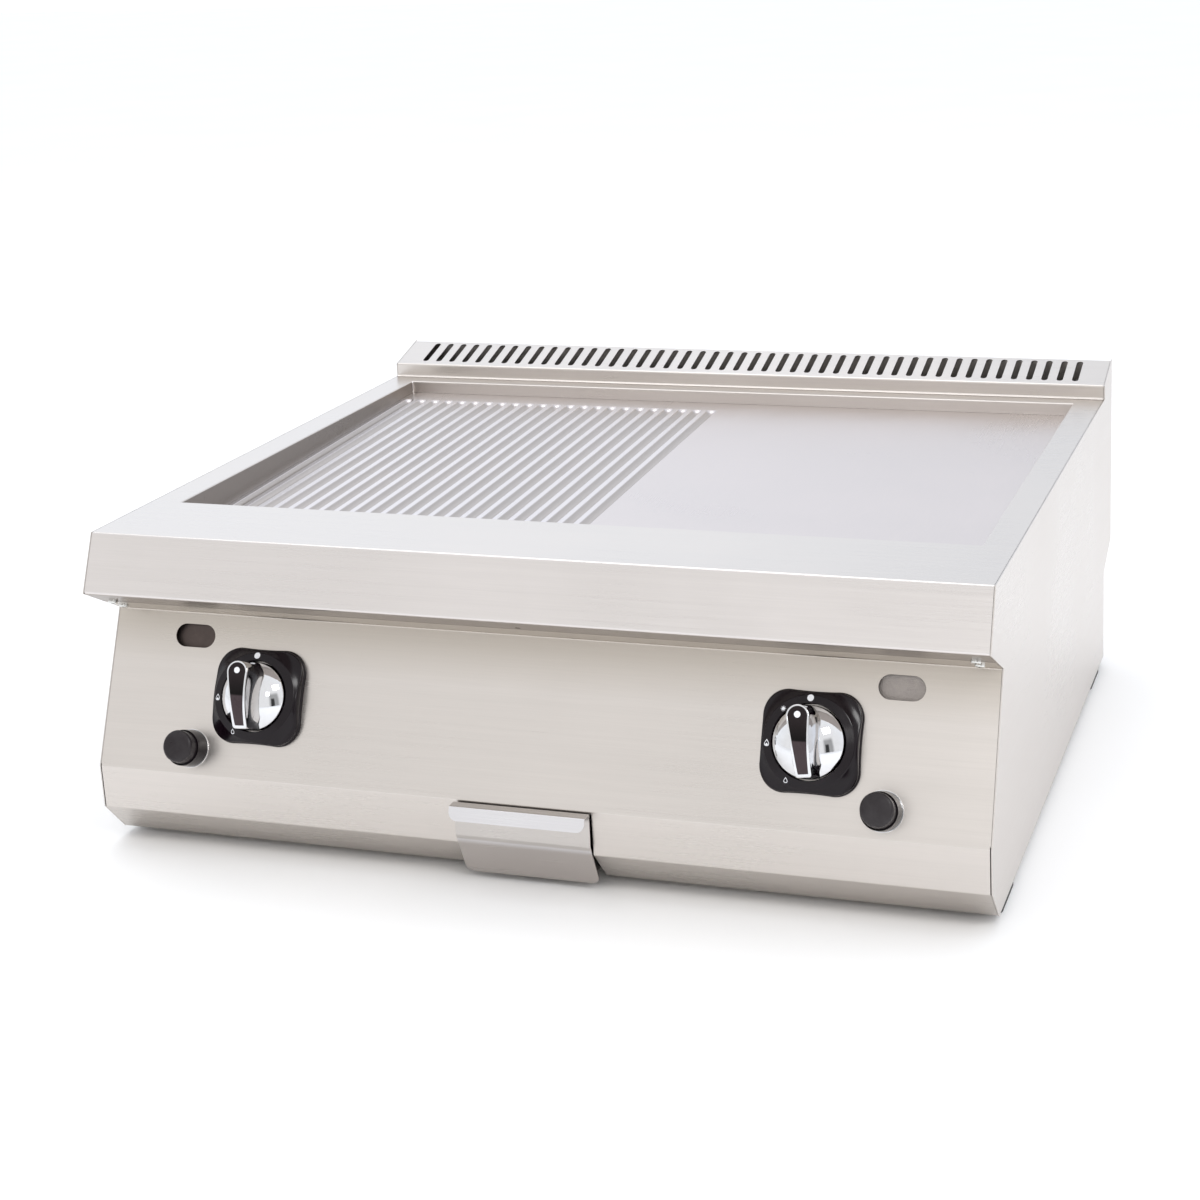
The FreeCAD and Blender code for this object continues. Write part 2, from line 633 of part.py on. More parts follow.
def burner_box():
    """Four walls round the flames; the rear wall is open along its top."""
    low = BOX_LOW_Z
    parts = [box(-BOX_X, BOX_X, BOX_FRONT_Y, BOX_FRONT_Y + SHEET, low, box_top(BOX_FRONT_Y)),
             box(-BOX_X, BOX_X, BOX_BACK_Y - SHEET, BOX_BACK_Y, low, box_top(BOX_BACK_Y) - 40.0)]
    outline = [(BOX_FRONT_Y, low), (BOX_FRONT_Y, box_top(BOX_FRONT_Y)),
               (BOX_BACK_Y, box_top(BOX_BACK_Y)), (BOX_BACK_Y, low)]
    parts += [prism(outline, -BOX_X, -BOX_X + SHEET), prism(outline, BOX_X - SHEET, BOX_X)]
    walls = parts[0].fuse(parts[1:]).removeSplitter()
    holes = []
    for sign in SIDES.values():
        x = sign * BURNER_X
        holes.append(Part.makeCylinder(19.0, 20.0, vec(x, BOX_FRONT_Y - 10, BURNER_Z), Y))
        holes.append(box(x + sign * 45 - 26, x + sign * 45 + 26, BOX_FRONT_Y - 5,
                         BOX_FRONT_Y + 5, BURNER_Z + 10, BURNER_Z + 36))
    spout_gap = box(TRAY_X - 34, TRAY_X + 34, BOX_FRONT_Y - 2, BOX_FRONT_Y + 3, low - 1, 260.0)
    return walls.cut(Part.makeCompound(holes)).cut(spout_gap)


def box_top(y):
    return plate_z(y) - PLATE_THICK - 1.0


def heat_shield():
    """Perforated floor of the burner box, which keeps the heat off the tray."""
    z = BOX_LOW_Z - SHEET - 0.2
    sheet = box(-BOX_X, BOX_X, BOX_FRONT_Y + 52.0, BOX_BACK_Y, z, z + SHEET)
    ports = []
    for column in range(AIR_COLUMNS):
        for row in range(AIR_ROWS):
            port = stadium(AIR_LENGTH, AIR_WIDTH / 2, 4.0, 0.0)
            x = (column - (AIR_COLUMNS - 1) / 2) * AIR_PITCH_X
            port.translate(vec(x, BOX_FRONT_Y + 76.0 + row * AIR_PITCH_Y * 0.95, z - 1.5))
            ports.append(port)
    return sheet.cut(Part.makeCompound(ports))


def burner(sign):
    """Three perforated branches on a cross tube, fed by a flared mixing tube."""
    x = sign * BURNER_X
    cross_y = BRANCH_FRONT_Y
    cross_r = BRANCH_R + 2.0
    reach = BRANCH_SPREAD + BRANCH_R + 4.0
    mouth = vec(x, BOX_FRONT_Y - 8.0, BURNER_Z)
    throat = vec(x, BOX_FRONT_Y + 14.0, BURNER_Z)
    joint = vec(x, cross_y, BURNER_Z)
    cross = (vec(x - reach, cross_y, BURNER_Z), vec(x + reach, cross_y, BURNER_Z))
    outer = [rod(cross[0], cross[1], cross_r), rod(throat, joint, 12.0)]
    inner = [rod(cross[0] + X * TUBE_WALL, cross[1] - X * TUBE_WALL, cross_r - TUBE_WALL),
             rod(throat - Y * 1.0, joint, 12.0 - TUBE_WALL)]
    outer.append(Part.makeCone(16.5, 12.0, throat.y - mouth.y, mouth, Y))
    inner.append(Part.makeCone(16.5 - TUBE_WALL, 12.0 - TUBE_WALL, throat.y - mouth.y, mouth, Y))
    ports = []
    for k in (-1, 0, 1):
        start = vec(x + k * BRANCH_SPREAD, cross_y, BURNER_Z)
        end = vec(start.x, BRANCH_BACK_Y, BURNER_Z)
        outer.append(rod(start, end, BRANCH_R))
        inner.append(rod(start, end - Y * TUBE_WALL, BRANCH_R - TUBE_WALL))
        span = BRANCH_BACK_Y - BRANCH_FRONT_Y - 70.0
        for i in range(PORT_COUNT):
            port_y = BRANCH_FRONT_Y + 45.0 + span * i / (PORT_COUNT - 1)
            ports.append(box(start.x - 9.0, start.x + 9.0, port_y - 1.0, port_y + 1.0,
                             BURNER_Z + BRANCH_R * 0.55, BURNER_Z + BRANCH_R + 2.0))
    solid = outer[0].fuse(outer[1:]).cut(inner[0].fuse(inner[1:]))
    return solid.cut(Part.makeCompound(ports))


def burner_rail(y):
    """Channel across the burner box that carries the burner branches."""
    top = BURNER_Z - BRANCH_R - GAP
    path = [(y - 14.0, top - 14.0), (y - 14.0, top), (y + 14.0, top), (y + 14.0, top - 14.0)]
    return bent_sheet(path, SHEET, -1, -BOX_X + SHEET + GAP, BOX_X - SHEET - GAP)


def injector(sign):
    """Brass jet that blows gas into the mixing tube."""
    base = vec(sign * BURNER_X, 0, BURNER_Z)
    hex_part = hexagon(14.0, 10.0)
    hex_part.rotate(vec(0, 0, 0), X, -90)
    hex_part.translate(base + Y * (INJECTOR_Y - 10.0))
    nose = Part.makeCone(5.0, 3.0, 12.0, base + Y * INJECTOR_Y, Y)
    thread = rod(base + Y * (INJECTOR_Y - 20.0), base + Y * (INJECTOR_Y - 10.0), 4.5)
    bore = rod(base + Y * (INJECTOR_Y - 20.0), base + Y * (INJECTOR_Y + 9.0), 2.0)
    jet = rod(base + Y * (INJECTOR_Y + 8.0), base + Y * (INJECTOR_Y + 13.0), 0.8)
    return hex_part.fuse([nose, thread]).cut(bore.fuse(jet)).removeSplitter()


def injector_bracket(sign):
    """Angle that holds the jet in front of the burner box."""
    x = sign * BURNER_X
    z0 = BURNER_Z - 34.0
    thick = 2.0
    wall_y = BOX_FRONT_Y - GAP - thick
    path = [(INJECTOR_Y + GAP, BURNER_Z + 12.0), (INJECTOR_Y + GAP, z0), (wall_y, z0),
            (wall_y, z0 - 16.0)]
    plate = bent_sheet(path, thick, 1, x - 15.0, x + 15.0, bend=1.0)
    hole = rod(vec(x, INJECTOR_Y - 6, BURNER_Z), vec(x, INJECTOR_Y + 6, BURNER_Z), 5.0 + GAP)
    return plate.cut(hole)


# ---------------------------------------------------------------- gas line

def gas_rail():
    """Tube across the front that feeds both taps, with a cap and an elbow."""
    start = vec(-KNOB_X - 45.0, RAIL_Y, RAIL_Z)
    end = vec(INLET_X - 22.0, RAIL_Y, RAIL_Z)
    tube = pipe_between(start, end, RAIL_R, 2.6)
    cap = rod(start - X * 8.0, start + X * 10.0, RAIL_R + 2.5)
    return tube.fuse(cap).removeSplitter()


def gas_inlet_pipe():
    """Pipe from the rear connection forward to the rail."""
    points = [vec(INLET_X - 21.5, RAIL_Y, RAIL_Z), vec(INLET_X, RAIL_Y, RAIL_Z),
              vec(INLET_X, RAIL_Y + 30.0, RAIL_Z), vec(INLET_X, RAIL_Y + 75.0, INLET_Z),
              vec(INLET_X, INLET_END_Y, INLET_Z)]
    pipe = tube_along(points, PIPE_R, 14.0, wall=PIPE_WALL)
    seat_end = BACK_LOW_Y + GAP + NUT_THICK
    threads = [rod(vec(INLET_X, y0, INLET_Z), vec(INLET_X, y1, INLET_Z), INLET_R)
               for y0, y1 in ((seat_end - 2 * NUT_THICK, seat_end), (THREAD_START_Y, INLET_END_Y))]
    bore = rod(vec(INLET_X, seat_end - 3 * NUT_THICK, INLET_Z), vec(INLET_X, INLET_END_Y, INLET_Z),
               PIPE_R - PIPE_WALL)
    return pipe.fuse([thread.cut(bore) for thread in threads]).removeSplitter()


def inlet_nut():
    """Hexagon that locks the inlet pipe in the back panel."""
    nut = hexagon(36.0, NUT_THICK).cut(Part.makeCylinder(INLET_R + RUNNING, NUT_THICK))
    nut.rotate(vec(0, 0, 0), X, -90)
    nut.translate(vec(INLET_X, BACK_LOW_Y + GAP, INLET_Z))
    return nut


def tap_body(sign):
    """Brass gas tap with its flange, bores, rail saddle and outlet."""
    barrel = Part.makeCylinder(TAP_R, TAP_FRONT - TAP_BACK, vec(0, 0, TAP_BACK))
    ears = stadium(2 * TAP_SCREW_V + 12.0, 12.0, 4.0, TAP_FRONT - 4.0)
    ears.rotate(vec(0, 0, 0), Z, 90)
    body = on_panel(barrel.fuse(ears), sign * KNOB_X, KNOB_V)
    bores = [Part.makeCylinder(PLUG_R + RUNNING, PLUG_FRONT - PLUG_BACK + 2 * GAP,
                               vec(0, 0, PLUG_BACK - GAP)),
             Part.makeCylinder(SPINDLE_R + RUNNING, 40.0, vec(0, 0, PLUG_FRONT - 4.0))]
    bores += [Part.makeCylinder(2.05, 12.0, vec(0, v, TAP_FRONT - 9.0))
              for v in (-TAP_SCREW_V, TAP_SCREW_V)]
    bores = on_panel(Part.makeCompound(bores), sign * KNOB_X, KNOB_V)
    centre = panel_point(sign * KNOB_X, KNOB_V, TAP_MIDDLE)
    rail = vec(sign * KNOB_X, RAIL_Y, RAIL_Z)
    to_rail = (rail - centre).normalize()
    neck = rod(centre + to_rail * (TAP_R - 3.0), rail - to_rail * (RAIL_R + 0.1), 8.0)
    outlet = rod(centre - X * (sign * (TAP_R - 3.0)), centre - X * (sign * TAP_OUTLET), 7.0)
    return body.fuse([neck, outlet]).removeSplitter().cut(bores)


def burner_pipe(sign):
    """Small pipe from the tap's outlet to the jet."""
    centre = panel_point(sign * KNOB_X, KNOB_V, TAP_MIDDLE)
    start = centre - X * (sign * (TAP_OUTLET + 0.2))
    x = sign * BURNER_X
    lift = INJECTOR_Y - 21.0
    points = [start, vec(x, centre.y, centre.z), vec(x, centre.y, BURNER_Z),
              vec(x, lift, BURNER_Z)]
    return tube_along(points, 4.0, 8.0)


def tap_screws():
    screw = pan_screw(3.6, 2.4, 2.0, 7.0)
    screws = []
    for sign in SIDES.values():
        for v in (-TAP_SCREW_V, TAP_SCREW_V):
            screws.append(on_panel(screw, sign * KNOB_X, KNOB_V + v))
    return screws


def tap_plug(sign, turn):
    """Turning plug of the tap, with a gas way through it and a D hole for the spindle."""
    plug = Part.makeCylinder(PLUG_R, PLUG_FRONT - PLUG_BACK, vec(0, 0, PLUG_BACK))
    depth = KNOB_PUSH + SPINDLE_SINK + GAP
    plug = plug.cut(d_bar(SPINDLE_R + RUNNING, SPINDLE_FLAT, PLUG_FRONT - depth, PLUG_FRONT + 1.0))
    way = Part.makeCylinder(3.0, 4 * PLUG_R, vec(-2 * PLUG_R, 0, TAP_MIDDLE - 6.0), X)
    return on_panel(plug.cut(way), sign * KNOB_X, KNOB_V, turn)


def d_bar(radius, flat, low, high):
    """Round bar with one flat."""
    bar = Part.makeCylinder(radius, high - low, vec(0, 0, low))
    shave = Part.makeBox(4 * radius, 2 * radius, high - low + 2.0,
                         vec(-2 * radius, radius - flat, low - 1.0))
    return bar.cut(shave)


def spindle(sign, turn):
    """D-shaped steel rod that joins the knob to the plug."""
    low = PLUG_FRONT - SPINDLE_SINK
    return on_panel(d_bar(SPINDLE_R, SPINDLE_FLAT, low, SPINDLE_TOP), sign * KNOB_X, KNOB_V, turn)


# ---------------------------------------------------------------- knob and bezel

def bezel_outline(offset, z):
    """Rounded square with slightly waisted sides, grown or shrunk by offset."""
    r = BEZEL_CORNER_R + offset
    a = BEZEL_HALF - BEZEL_CORNER_R
    waist = BEZEL_WAIST + offset
    side_r = (a * a + (waist - a) ** 2 - r * r) / (2 * (r - (waist - a)))
    far = waist + side_r
    direction = vec(-a, far - a, 0).normalize()
    high = vec(a, a, 0) + direction * r
    diagonal = vec(a, a, 0) + vec(1, 1, 0).normalize() * r
    edges = []
    for quarter in range(4):
        points = [vec(-high.x, high.y, z), vec(0, waist, z), vec(high.x, high.y, z),
                  vec(diagonal.x, diagonal.y, z), vec(high.y, high.x, z)]
        spin = FreeCAD.Rotation(Z, -90 * quarter)
        p = [spin.multVec(point) for point in points]
        edges.append(Part.Arc(p[0], p[1], p[2]).toShape())
        edges.append(Part.Arc(p[2], p[3], p[4]).toShape())
    return Part.Wire(edges)


def bezel(sign):
    """Black surround: waisted base, raised ring and a bore for the knob."""
    base = Part.Face(bezel_outline(0.0, 0.0)).extrude(vec(0, 0, BEZEL_EDGE))
    ring = Part.makeCone(BEZEL_RING_R + 3.0, BEZEL_RING_R - 1.0, BEZEL_RING - BEZEL_EDGE + 2.0,
                         vec(0, 0, BEZEL_EDGE - 2.0))
    body = base.fuse(ring).cut(Part.makeCylinder(BEZEL_BORE_R, 40.0, vec(0, 0, -10.0)))
    return on_panel(body.removeSplitter(), sign * KNOB_X, KNOB_V)


def bar_outline(inset, z):
    """Grip seen from the front: round head, tapering to a narrow tail."""
    head_r = BAR_HEAD_R - inset
    head_v = BAR_HEAD_V - BAR_HEAD_R
    tail = BAR_TAIL_HALF - inset
    tail_v = BAR_TAIL_V + inset
    corners = [vec(-head_r, head_v, z), vec(0, head_v + head_r, z), vec(head_r, head_v, z)]
    low = [vec(tail, tail_v, z), vec(0, tail_v - BAR_TAIL_BULGE, z), vec(-tail, tail_v, z)]
    edges = [Part.Arc(*corners).toShape(), Part.makeLine(corners[2], low[0]),
             Part.Arc(*low).toShape(), Part.makeLine(low[2], corners[0])]
    return Part.Wire(edges)


def grip_back(sink):
    """Round bar whose skin is the grip's top, or lies below it by sink."""
    centre = vec(-BEZEL_HALF, BAR_HEAD_V - BAR_HEAD_R, BAR_TOP - GRIP_BACK_R)
    return Part.makeCylinder(GRIP_BACK_R - sink, 2 * BEZEL_HALF, centre, X)


def grip_column(inset):
    """Upright column on the grip's outline, from the skirt to above the grip."""
    return Part.Face(bar_outline(inset, SKIRT_HIGH)).extrude(vec(0, 0, BAR_TOP - SKIRT_HIGH + 1.0))


def knob(sign, turn):
    """Chrome knob: skirt, dome and a high tapering grip with a pocket for the insert."""
    rise = DOME_TOP - SKIRT_HIGH
    dome_r = (SKIRT_R ** 2 + rise ** 2) / (2 * rise)
    skirt = Part.makeCylinder(SKIRT_R, DOME_TOP - SKIRT_LOW, vec(0, 0, SKIRT_LOW))
    body = skirt.common(Part.makeSphere(dome_r, vec(0, 0, DOME_TOP - dome_r)))
    body = body.fuse(grip_column(0.0).common(grip_back(0.0)))
    body = body.cut(grip_column(BAR_RIM).cut(grip_back(INSERT_DEPTH)))
    body = body.cut(d_bar(SPINDLE_R + 0.02, SPINDLE_FLAT, SKIRT_LOW - 1.0, SPINDLE_TOP + GAP))
    hollow = Part.makeCylinder(SKIRT_R - KNOB_WALL, KNOB_HOLLOW, vec(0, 0, SKIRT_LOW))
    hub = Part.makeCylinder(SPINDLE_R + HUB_WALL, KNOB_HOLLOW, vec(0, 0, SKIRT_LOW))
    body = body.cut(hollow.cut(hub)).removeSplitter()
    return on_panel(body, sign * KNOB_X, KNOB_V, turn)


def pointer_insert(sign, turn):
    """Black strip let into the top of the grip."""
    strip = grip_column(BAR_RIM + INSERT_GAP)
    strip = strip.common(grip_back(INSERT_SINK)).cut(grip_back(INSERT_DEPTH - INSERT_GAP))
    return on_panel(strip, sign * KNOB_X, KNOB_V, turn)


# ---------------------------------------------------------------- igniter

def igniter_body(sign):
    """Fixed part of the igniter: tapered collar in front, barrel and terminal behind."""
    collar = Part.makeCone(COLLAR_R, COLLAR_TIP_R, COLLAR_TOP - RING_THICK, vec(0, 0, RING_THICK))
    seat = Part.makeCylinder(BUTTON_R + SEAT_PLAY, COLLAR_TOP, vec(0, 0, RING_THICK + COLLAR_FLOOR))
    barrel = Part.makeCylinder(BARREL_R, RING_THICK - BARREL_BACK, vec(0, 0, BARREL_BACK))
    bore_length = RING_THICK + COLLAR_FLOOR - STEM_BORE_BACK
    stem_bore = Part.makeCylinder(STEM_R + RUNNING, bore_length, vec(0, 0, STEM_BORE_BACK))
    terminal_back = vec(0, 0, BARREL_BACK - TERMINAL_LENGTH)
    terminal = Part.makeCylinder(TERMINAL_R, TERMINAL_LENGTH, terminal_back)
    pocket_length = RING_THICK - BARREL_POCKET
    pocket = Part.makeCylinder(BARREL_R - TOP_SHEET, pocket_length, vec(0, 0, BARREL_POCKET))
    body = collar.fuse([barrel, terminal]).cut(seat).cut(stem_bore).cut(pocket)
    return on_panel(body.removeSplitter(), sign * IGNITER_X, IGNITER_V)


def igniter_button(sign):
    """Black push button, slightly tapered, with a rounded edge and its stem."""
    low = RING_THICK + COLLAR_FLOOR + BUTTON_PUSH + GAP
    cap = Part.makeCone(BUTTON_R, BUTTON_TIP_R, BUTTON_FACE - low, vec(0, 0, low))
    top = [e for e in cap.Edges if e.BoundBox.ZMin > BUTTON_FACE - 0.01]
    cap = cap.makeFillet(BUTTON_EDGE, top)
    stem = Part.makeCylinder(STEM_R, low - STEM_BACK, vec(0, 0, STEM_BACK))
    return on_panel(cap.fuse(stem).removeSplitter(), sign * IGNITER_X, IGNITER_V)


def igniter_rings():
    """Thin bright washers between collar and panel."""
    ring = Part.makeCylinder(RING_R, RING_THICK).cut(Part.makeCylinder(BARREL_R + 0.1, RING_THICK))
    return [on_panel(ring, sign * IGNITER_X, IGNITER_V) for sign in SIDES.values()]


def igniter_nuts():
    nut = hexagon(27.0, 5.0, -SHEET - 0.1 - 5.0)
    nut = nut.cut(Part.makeCylinder(BARREL_R + 0.1, 20.0, vec(0, 0, -15.0)))
    return [on_panel(nut, sign * IGNITER_X, IGNITER_V) for sign in SIDES.values()]


# ---------------------------------------------------------------- pilot group

def pilot_burner(sign):
    """Small pilot block with its hood, next to the burner's cross tube."""
    x = sign * (BURNER_X + PILOT_DX)
    block = box(x - 8.0, x + 8.0, PILOT_Y - 6.0, PILOT_Y + 6.0, PILOT_Z - 8.0, PILOT_Z + 8.0)
    head = rod(vec(x, PILOT_Y + 6.0, PILOT_Z), vec(x, PILOT_Y + 18.0, PILOT_Z), 4.0)
    flame = rod(vec(x, PILOT_Y + 10.0, PILOT_Z), vec(x, PILOT_Y + 20.0, PILOT_Z), 2.6)
    arm = box(x - 22.0, x + 22.0, PILOT_Y - 6.0, PILOT_Y - 4.0, PILOT_Z - 8.0, PILOT_Z + 8.0)
    holes = [rod(vec(x + dx, PILOT_Y - 10.0, PILOT_Z), vec(x + dx, PILOT_Y, PILOT_Z), r)
             for dx, r in ((-16.0, 3.3), (16.0, 3.8))]
    return block.fuse([head, arm]).cut(flame).cut(Part.makeCompound(holes)).removeSplitter()


def pilot_pipe(sign):
    """Thin pipe from the tap to the pilot block."""
    tap = panel_point(sign * KNOB_X, KNOB_V, TAP_MIDDLE + 12.0)
    lean_up = panel_point(sign * KNOB_X, KNOB_V + TAP_R + 0.2, TAP_MIDDLE + 12.0)
    x = sign * (BURNER_X + PILOT_DX)
    start = lean_up
    points = [start, start + (lean_up - tap).normalize() * 14.0,
              vec(x, PILOT_Y - 34.0, PILOT_Z), vec(x, PILOT_Y - 6.2, PILOT_Z)]
    return tube_along(points, 2.0, 8.0)


def thermocouple(sign):
    """Probe in the pilot flame with its lead back to the tap."""
    x = sign * (BURNER_X + PILOT_DX) - 16.0
    probe = rod(vec(x, PILOT_Y - 22.0, PILOT_Z), vec(x, PILOT_Y + 20.0, PILOT_Z), 3.0)
    tail = vec(x, PILOT_Y - 22.0, PILOT_Z)
    tap_end = panel_point(sign * KNOB_X, KNOB_V + 9.0, TAP_BACK - 0.2)
    into_tap = panel_point(sign * KNOB_X, KNOB_V + 9.0, TAP_BACK - 12.0)
    points = [tail, tail - Y * 12.0, vec(x, PILOT_Y - 34.0, PILOT_Z - 30.0), into_tap, tap_end]
    lead = tube_along(points, 1.4, 5.0)
    return probe.fuse(lead)


def spark_electrode(sign):
    """Ceramic rod with a bent wire tip beside the pilot flame."""
    x = sign * (BURNER_X + PILOT_DX) + 16.0
    ceramic = rod(vec(x, PILOT_Y - 18.0, PILOT_Z), vec(x, PILOT_Y + 10.0, PILOT_Z), 3.5)
    tip = tube_along([vec(x, PILOT_Y + 9.0, PILOT_Z), vec(x, PILOT_Y + 20.0, PILOT_Z),
                      vec(x - 10.0, PILOT_Y + 24.0, PILOT_Z)], 0.9, 3.0)
    return ceramic.fuse(tip)


def ignition_lead(sign):
    """Insulated wire from the igniter's terminal to the electrode."""
    start = panel_point(sign * IGNITER_X, IGNITER_V, BARREL_BACK - 7.2)
    back = panel_point(sign * IGNITER_X, IGNITER_V, BARREL_BACK - 20.0)
    x = sign * (BURNER_X + PILOT_DX) + 16.0
    side_x = sign * IGNITER_X
    points = [start, back, vec(side_x, 60.0, 150.0), vec(x, PILOT_Y - 52.0, PILOT_Z),
              vec(x, PILOT_Y - 18.2, PILOT_Z)]
    return tube_along(points, 1.8, 7.0)


# ---------------------------------------------------------------- feet and screws

def foot_places():
    return [vec(sign * FOOT_X, y, 0) for sign in (-1, 1) for y in FOOT_Y]


def foot_holes():
    return [Part.makeCylinder(2.8, 8.0, place - Z * 3.0) for place in foot_places()]


def rubber_feet():
    """Four oblong rubber pads, each with a counterbore for its screw."""
    foot = box(-FOOT_WIDTH / 2, FOOT_WIDTH / 2, -FOOT_LENGTH / 2, FOOT_LENGTH / 2, -FOOT_HEIGHT, 0.0)
    foot = foot.makeFillet(FOOT_CORNER, [e for e in foot.Edges if e.BoundBox.ZLength > FOOT_HEIGHT / 2])
    foot = foot.cut(Part.makeCylinder(FOOT_BORE_R, 2 * FOOT_HEIGHT, vec(0, 0, -1.5 * FOOT_HEIGHT)))
    seat_depth = FOOT_HEIGHT - FOOT_SEAT
    foot = foot.cut(Part.makeCylinder(FOOT_COUNTERBORE_R, seat_depth, vec(0, 0, -FOOT_HEIGHT)))
    return [moved(foot, place) for place in foot_places()]


def foot_screws():
    screw = pan_screw(5.2, 3.2, 2.5, 10.0)
    screw.rotate(vec(0, 0, 0), X, 180)
    return [moved(screw, place - Z * (FOOT_SEAT + 0.05)) for place in foot_places()]


def back_screws():
    screw = pan_screw(4.2, 2.6, 2.0, 9.0)
    screw.rotate(vec(0, 0, 0), X, -90)
    return [moved(screw, vec(x, BACK_LOW_Y + 0.05, BACK_SCREW_Z)) for x in BACK_SCREW_X]


# ---------------------------------------------------------------- assembly

def footprint_centre():
    """Offset that puts the origin under the middle, between the igniters' faces and the back."""
    front_y = igniter_button(1).optimalBoundingBox(False, False).YMin
    return vec(0, -(front_y + BACK_Y) / 2, FOOT_HEIGHT)


def build():
    os.makedirs("parts", exist_ok=True)
    export("worktop", worktop())
    export("control_panel", control_panel())
    export("base_panel", base_panel())
    export("back_panel", back_panel())
    export("flue_riser", flue_riser())
    export("flue_duct", flue_duct())
    export("griddle_plate", griddle_plate())
    export("drain_spout", drain_spout())
    export("drip_tray", drip_tray())
    export("tray_front", tray_front())
    export("burner_box", burner_box())
    export("heat_shield", heat_shield())
    export("burner_rails", burner_rail(BRANCH_FRONT_Y + 60.0), burner_rail(BRANCH_BACK_Y - 40.0))
    export("gas_rail", gas_rail())
    export("gas_inlet_pipe", gas_inlet_pipe())
    export("inlet_nut", inlet_nut())
    for side, sign in SIDES.items():
        turn = KNOB_TURN[side]
        export("side_panel_" + side, side_panel(sign))
        export("tray_rail_" + side, tray_rail(sign))
        export("burner_" + side, burner(sign))
        export("injector_" + side, injector(sign))
        export("tap_body_" + side, tap_body(sign))
        export("burner_pipe_" + side, burner_pipe(sign))
        export("pilot_burner_" + side, pilot_burner(sign))
        export("pilot_pipe_" + side, pilot_pipe(sign))
        export("thermocouple_" + side, thermocouple(sign))
        export("spark_electrode_" + side, spark_electrode(sign))
        export("ignition_lead_" + side, ignition_lead(sign))
        export("igniter_body_" + side, igniter_body(sign))
        export("igniter_button_" + side, igniter_button(sign))
        export("bezel_" + side, bezel(sign))
        export("tap_plug_" + side, tap_plug(sign, turn))
        export("spindle_" + side, spindle(sign, turn))
        export("knob_" + side, knob(sign, turn))
        export("pointer_insert_" + side, pointer_insert(sign, turn))
    export("injector_brackets", *[injector_bracket(sign) for sign in SIDES.values()])
    export("igniter_rings", *igniter_rings())
    export("igniter_nuts", *igniter_nuts())
    export("rubber_feet", *rubber_feet())
    export("foot_screws", *foot_screws())
    export("lip_screws", *lip_screws())
    export("tap_screws", *tap_screws())
    export("back_screws", *back_screws())


ORIGIN = footprint_centre()
build()
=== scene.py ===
import json
import math

import bmesh
import bpy
from mathutils import Matrix, Vector


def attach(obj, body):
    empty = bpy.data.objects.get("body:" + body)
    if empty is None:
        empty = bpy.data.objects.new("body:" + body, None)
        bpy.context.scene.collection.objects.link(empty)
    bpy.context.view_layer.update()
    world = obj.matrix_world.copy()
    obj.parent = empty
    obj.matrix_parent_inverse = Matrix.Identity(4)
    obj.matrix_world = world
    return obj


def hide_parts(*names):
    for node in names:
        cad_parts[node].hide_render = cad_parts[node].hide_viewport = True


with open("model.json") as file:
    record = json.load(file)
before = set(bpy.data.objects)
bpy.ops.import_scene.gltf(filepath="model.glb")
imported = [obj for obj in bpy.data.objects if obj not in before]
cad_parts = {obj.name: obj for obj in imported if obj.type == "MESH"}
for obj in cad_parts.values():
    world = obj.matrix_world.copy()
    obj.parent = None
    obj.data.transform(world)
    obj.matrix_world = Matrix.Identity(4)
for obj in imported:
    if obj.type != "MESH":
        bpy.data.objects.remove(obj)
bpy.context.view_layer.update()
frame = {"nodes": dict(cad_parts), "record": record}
nodes = frame["nodes"]
scene = bpy.context.scene
scene.view_settings.view_transform = "Standard"

# ------------------------------------------------------------------ camera
CAMERA_PLACE = (0.6943, -2.0137, 0.8272)
CAMERA_AZ = 18.49
CAMERA_EL = 13.00
CAMERA_ROLL = -2.18
CAMERA_LENS = 68.6
CAMERA_SHIFT = (-0.0501, -0.1583)


def aim(az, el, roll):
    """Right, up and back of a camera that looks along az (0 along +Y, turned left) and el (down)."""
    sa, ca = math.sin(math.radians(az)), math.cos(math.radians(az))
    se, ce = math.sin(math.radians(el)), math.cos(math.radians(el))
    ahead = Vector((-sa * ce, ca * ce, -se))
    right = Vector((ca, sa, 0))
    up = right.cross(ahead)
    c, s = math.cos(math.radians(roll)), math.sin(math.radians(roll))
    return c * right + s * up, c * up - s * right, -ahead


def make_camera():
    data = bpy.data.cameras.new("camera")
    data.lens = CAMERA_LENS
    data.sensor_width = 36
    data.shift_x, data.shift_y = CAMERA_SHIFT
    data.clip_start, data.clip_end = 0.05, 100
    camera = bpy.data.objects.new("camera", data)
    scene.collection.objects.link(camera)
    turn = Matrix(aim(CAMERA_AZ, CAMERA_EL, CAMERA_ROLL)).transposed().to_4x4()
    camera.matrix_world = Matrix.Translation(CAMERA_PLACE) @ turn
    scene.camera = camera


